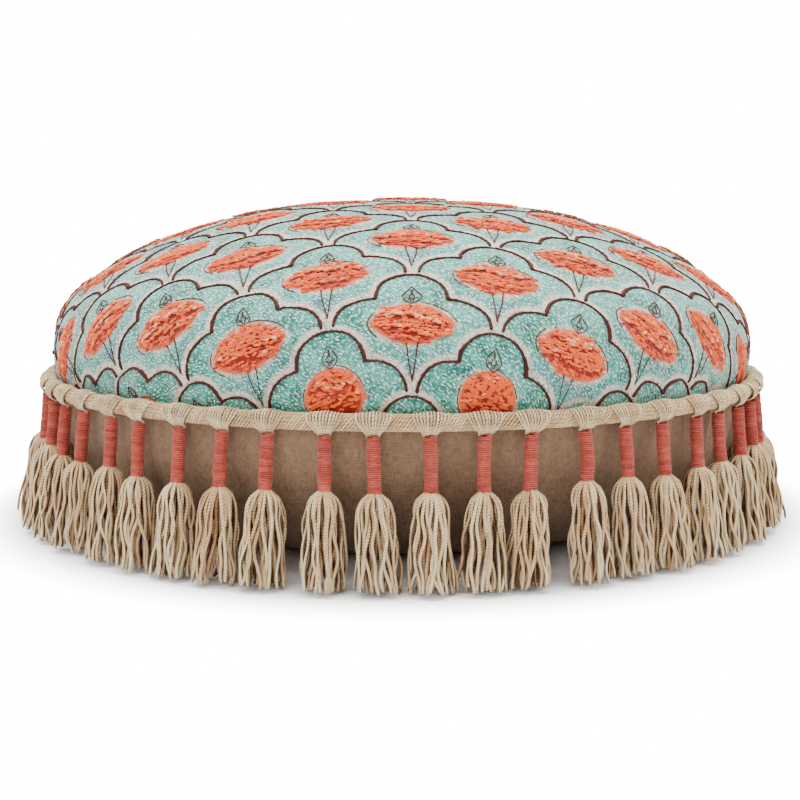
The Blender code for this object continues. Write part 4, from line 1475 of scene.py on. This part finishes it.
def makeTassel(joint, number):
    dice = np.random.default_rng(tasselSetup["seed"] + number)
    origin, down, front, side = tasselFrame(joint)
    neckTop = tasselSetup["neckTop"]
    neckEnd = neckTop + tasselSetup["neckLength"] + dice.uniform(-0.0030, 0.0012)
    # neighbours lean much the same way, so that their skirts don't cross
    turned = tasselSetup["sideTilt"] * math.sin(number * 1.15 + 0.7) + dice.normal(0, 0.6)
    tilt = math.tan(math.radians(min(max(turned, -3.4), 3.4)))
    bow = dice.normal(0, 0.0006)

    def centreLine(depth):
        share = np.clip((depth - neckTop) / (neckEnd - neckTop), 0, None)
        return tilt * (depth - neckTop) + bow * np.sin(np.pi * np.minimum(share, 1.0))

    def place(depth, outwards, sideways):
        return (origin + depth[..., None] * down + outwards[..., None] * front
                + (sideways + centreLine(depth))[..., None] * side)

    # binding: one thread wound round the neck, its last turns dipping on one side
    turns = (neckEnd - neckTop) / tasselSetup["wrapPitch"]
    angle = np.arange(0, turns * 2 * math.pi, 2 * math.pi / 12)
    share = angle / angle[-1]
    depth = neckTop + (neckEnd - neckTop) * share
    dip = np.clip((share - 0.80) / 0.20, 0, 1) ** 1.5 * dice.uniform(0.0008, 0.0022)
    depth = depth + dip * np.cos(angle - dice.uniform(0, 2 * math.pi)) + dice.normal(0, 0.00005, len(angle))
    radius = tasselSetup["wrapRadius"] * (1 - 0.03 * np.sin(share * 9 + number))
    radius = radius + dice.normal(0, 0.00005, len(angle))
    radius = radius - 0.0006 * np.clip((share - 0.93) / 0.07, 0, 1)
    perTurn = dice.uniform(-1, 1, int(turns) + 2)
    shade = 0.5 + 0.14 * np.interp(share * turns, np.arange(len(perTurn)), perTurn)
    wound = place(depth, radius * np.cos(angle), radius * np.sin(angle))
    # the heart is a dark core that shows in the gaps between the wound turns: painted shade
    heart = place(np.linspace(neckTop - 0.0002, neckEnd, 6), np.zeros(6), np.zeros(6))
    around = np.cos(angle)[:, None] * front + np.sin(angle)[:, None] * side
    lines = [(wound, tasselSetup["threadRadius"], shade, around), (heart, np.full(6, 0.0040), 0.15)]
    binding = threadPiece("binding_%02d" % number, lines, bindingYarn, 4, 0.92, 0.0)

    # skirt: plied strands that open under the binding and hang to just above the floor
    floorDepth = (joint["pos_m"][2] - tasselSetup["floorGap"]) / math.cos(math.radians(tasselSetup["lean"]))
    lines = []
    share = np.linspace(0, 1, tasselSetup["strandPoints"]) ** 1.25
    golden = math.pi * (3 - math.sqrt(5))
    for strand in range(tasselSetup["strands"]):
        outer = strand >= 16
        reach = dice.uniform(0.90, 1.0) if outer else 0.15 + 0.60 * math.sqrt((strand + 0.5) / 16)
        turn = (strand * 2 * math.pi / 24 if outer else strand * golden) + dice.normal(0, 0.09)
        start = neckEnd - 0.0022
        end = floorDepth - 0.0006 - dice.exponential(0.0016)
        depth = start + (end - start) * share
        body = np.interp(share, [0, 0.035, 0.07, 0.11, 0.17, 0.5, 0.85, 1.0],
                         [0.0034, 0.0060, 0.0086, 0.0101, tasselSetup["shoulder"], tasselSetup["middle"],
                          tasselSetup["end"] * 0.97, tasselSetup["end"]])
        body[0] = 0.0034
        away = reach * body
        away = away + dice.normal(0, 0.0007) * np.sin(np.pi * share) + dice.normal(0, 0.0012) * share ** 2
        drift = turn + dice.normal(0, 0.30) * share
        drift = drift + 0.13 * np.sin(share * dice.uniform(5, 11) + dice.uniform(0, 6)) * share
        wave = 0.0010 * np.sin(share * dice.uniform(6, 15) + dice.uniform(0, 6)) * np.minimum(1, share * 4)
        other = 0.0010 * np.sin(share * dice.uniform(6, 15) + dice.uniform(0, 6)) * np.minimum(1, share * 4)
        points = place(depth, away * np.cos(drift) + wave, away * np.sin(drift) + other)
        points[:, 2] = np.maximum(points[:, 2], tasselSetup["floorGap"] + 0.0006)
        knotted = np.interp(share, [0, 0.95, 0.98, 1], [1, 1, 1.25, 0.7])
        thick = tasselSetup["strandRadius"] * dice.uniform(0.88, 1.12) * knotted
        around = np.cos(drift)[:, None] * front + np.sin(drift)[:, None] * side
        # strand tone varies at random; inner strands are darker, painted shade, and each strand lightens
        # towards its end, painted light against the shade near the floor
        shade = 0.54 + dice.uniform(-0.26, 0.26) + 0.20 * share ** 4 - 0.2 * (not outer)
        lines.append((points, thick, shade, around))
    skirt = threadPiece("skirt_%02d" % number, lines, skirtYarn, 5, 0.90, 0.0)

    for piece, slotName in ((binding, "tassel_binding"), (skirt, "tassel_yarn")):
        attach(piece, joint["child"])
    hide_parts(joint["child"])
    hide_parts(joint["child"])


for number, joint in enumerate(tassels, 1):
    makeTassel(joint, number)
print("tassels made:", len(tassels))


# closing

def carriedMaterial(name, dark, light, roughness, metallic):
    material, tree, shader = startMaterial(name, roughness, 0.0, 0.5, metallic)
    place = tree.nodes.new("ShaderNodeTexCoord").outputs["Object"]
    wear = noise(tree, place, 420.0, 3.0, 0.6)
    tree.links.new(blendColour(tree, remap(tree, wear, 0.35, 0.7), dark, light), shader.inputs["Base Color"])
    tree.links.new(remap(tree, wear, 0.3, 0.7, roughness - 0.08, roughness + 0.12), shader.inputs["Roughness"])
    raiseSurface(tree, shader, wear, 0.0001, 0.4)
    return material


carried = {
    "zip_slider": carriedMaterial("zipMetal", rgb(120, 104, 84), rgb(186, 170, 146), 0.35, 1.0),
}
carried["zip_pull"] = carried["zip_slider"]
for name, material in carried.items():
    node = frame["nodes"][name]
    node.data.materials.clear()
    node.data.materials.append(material)

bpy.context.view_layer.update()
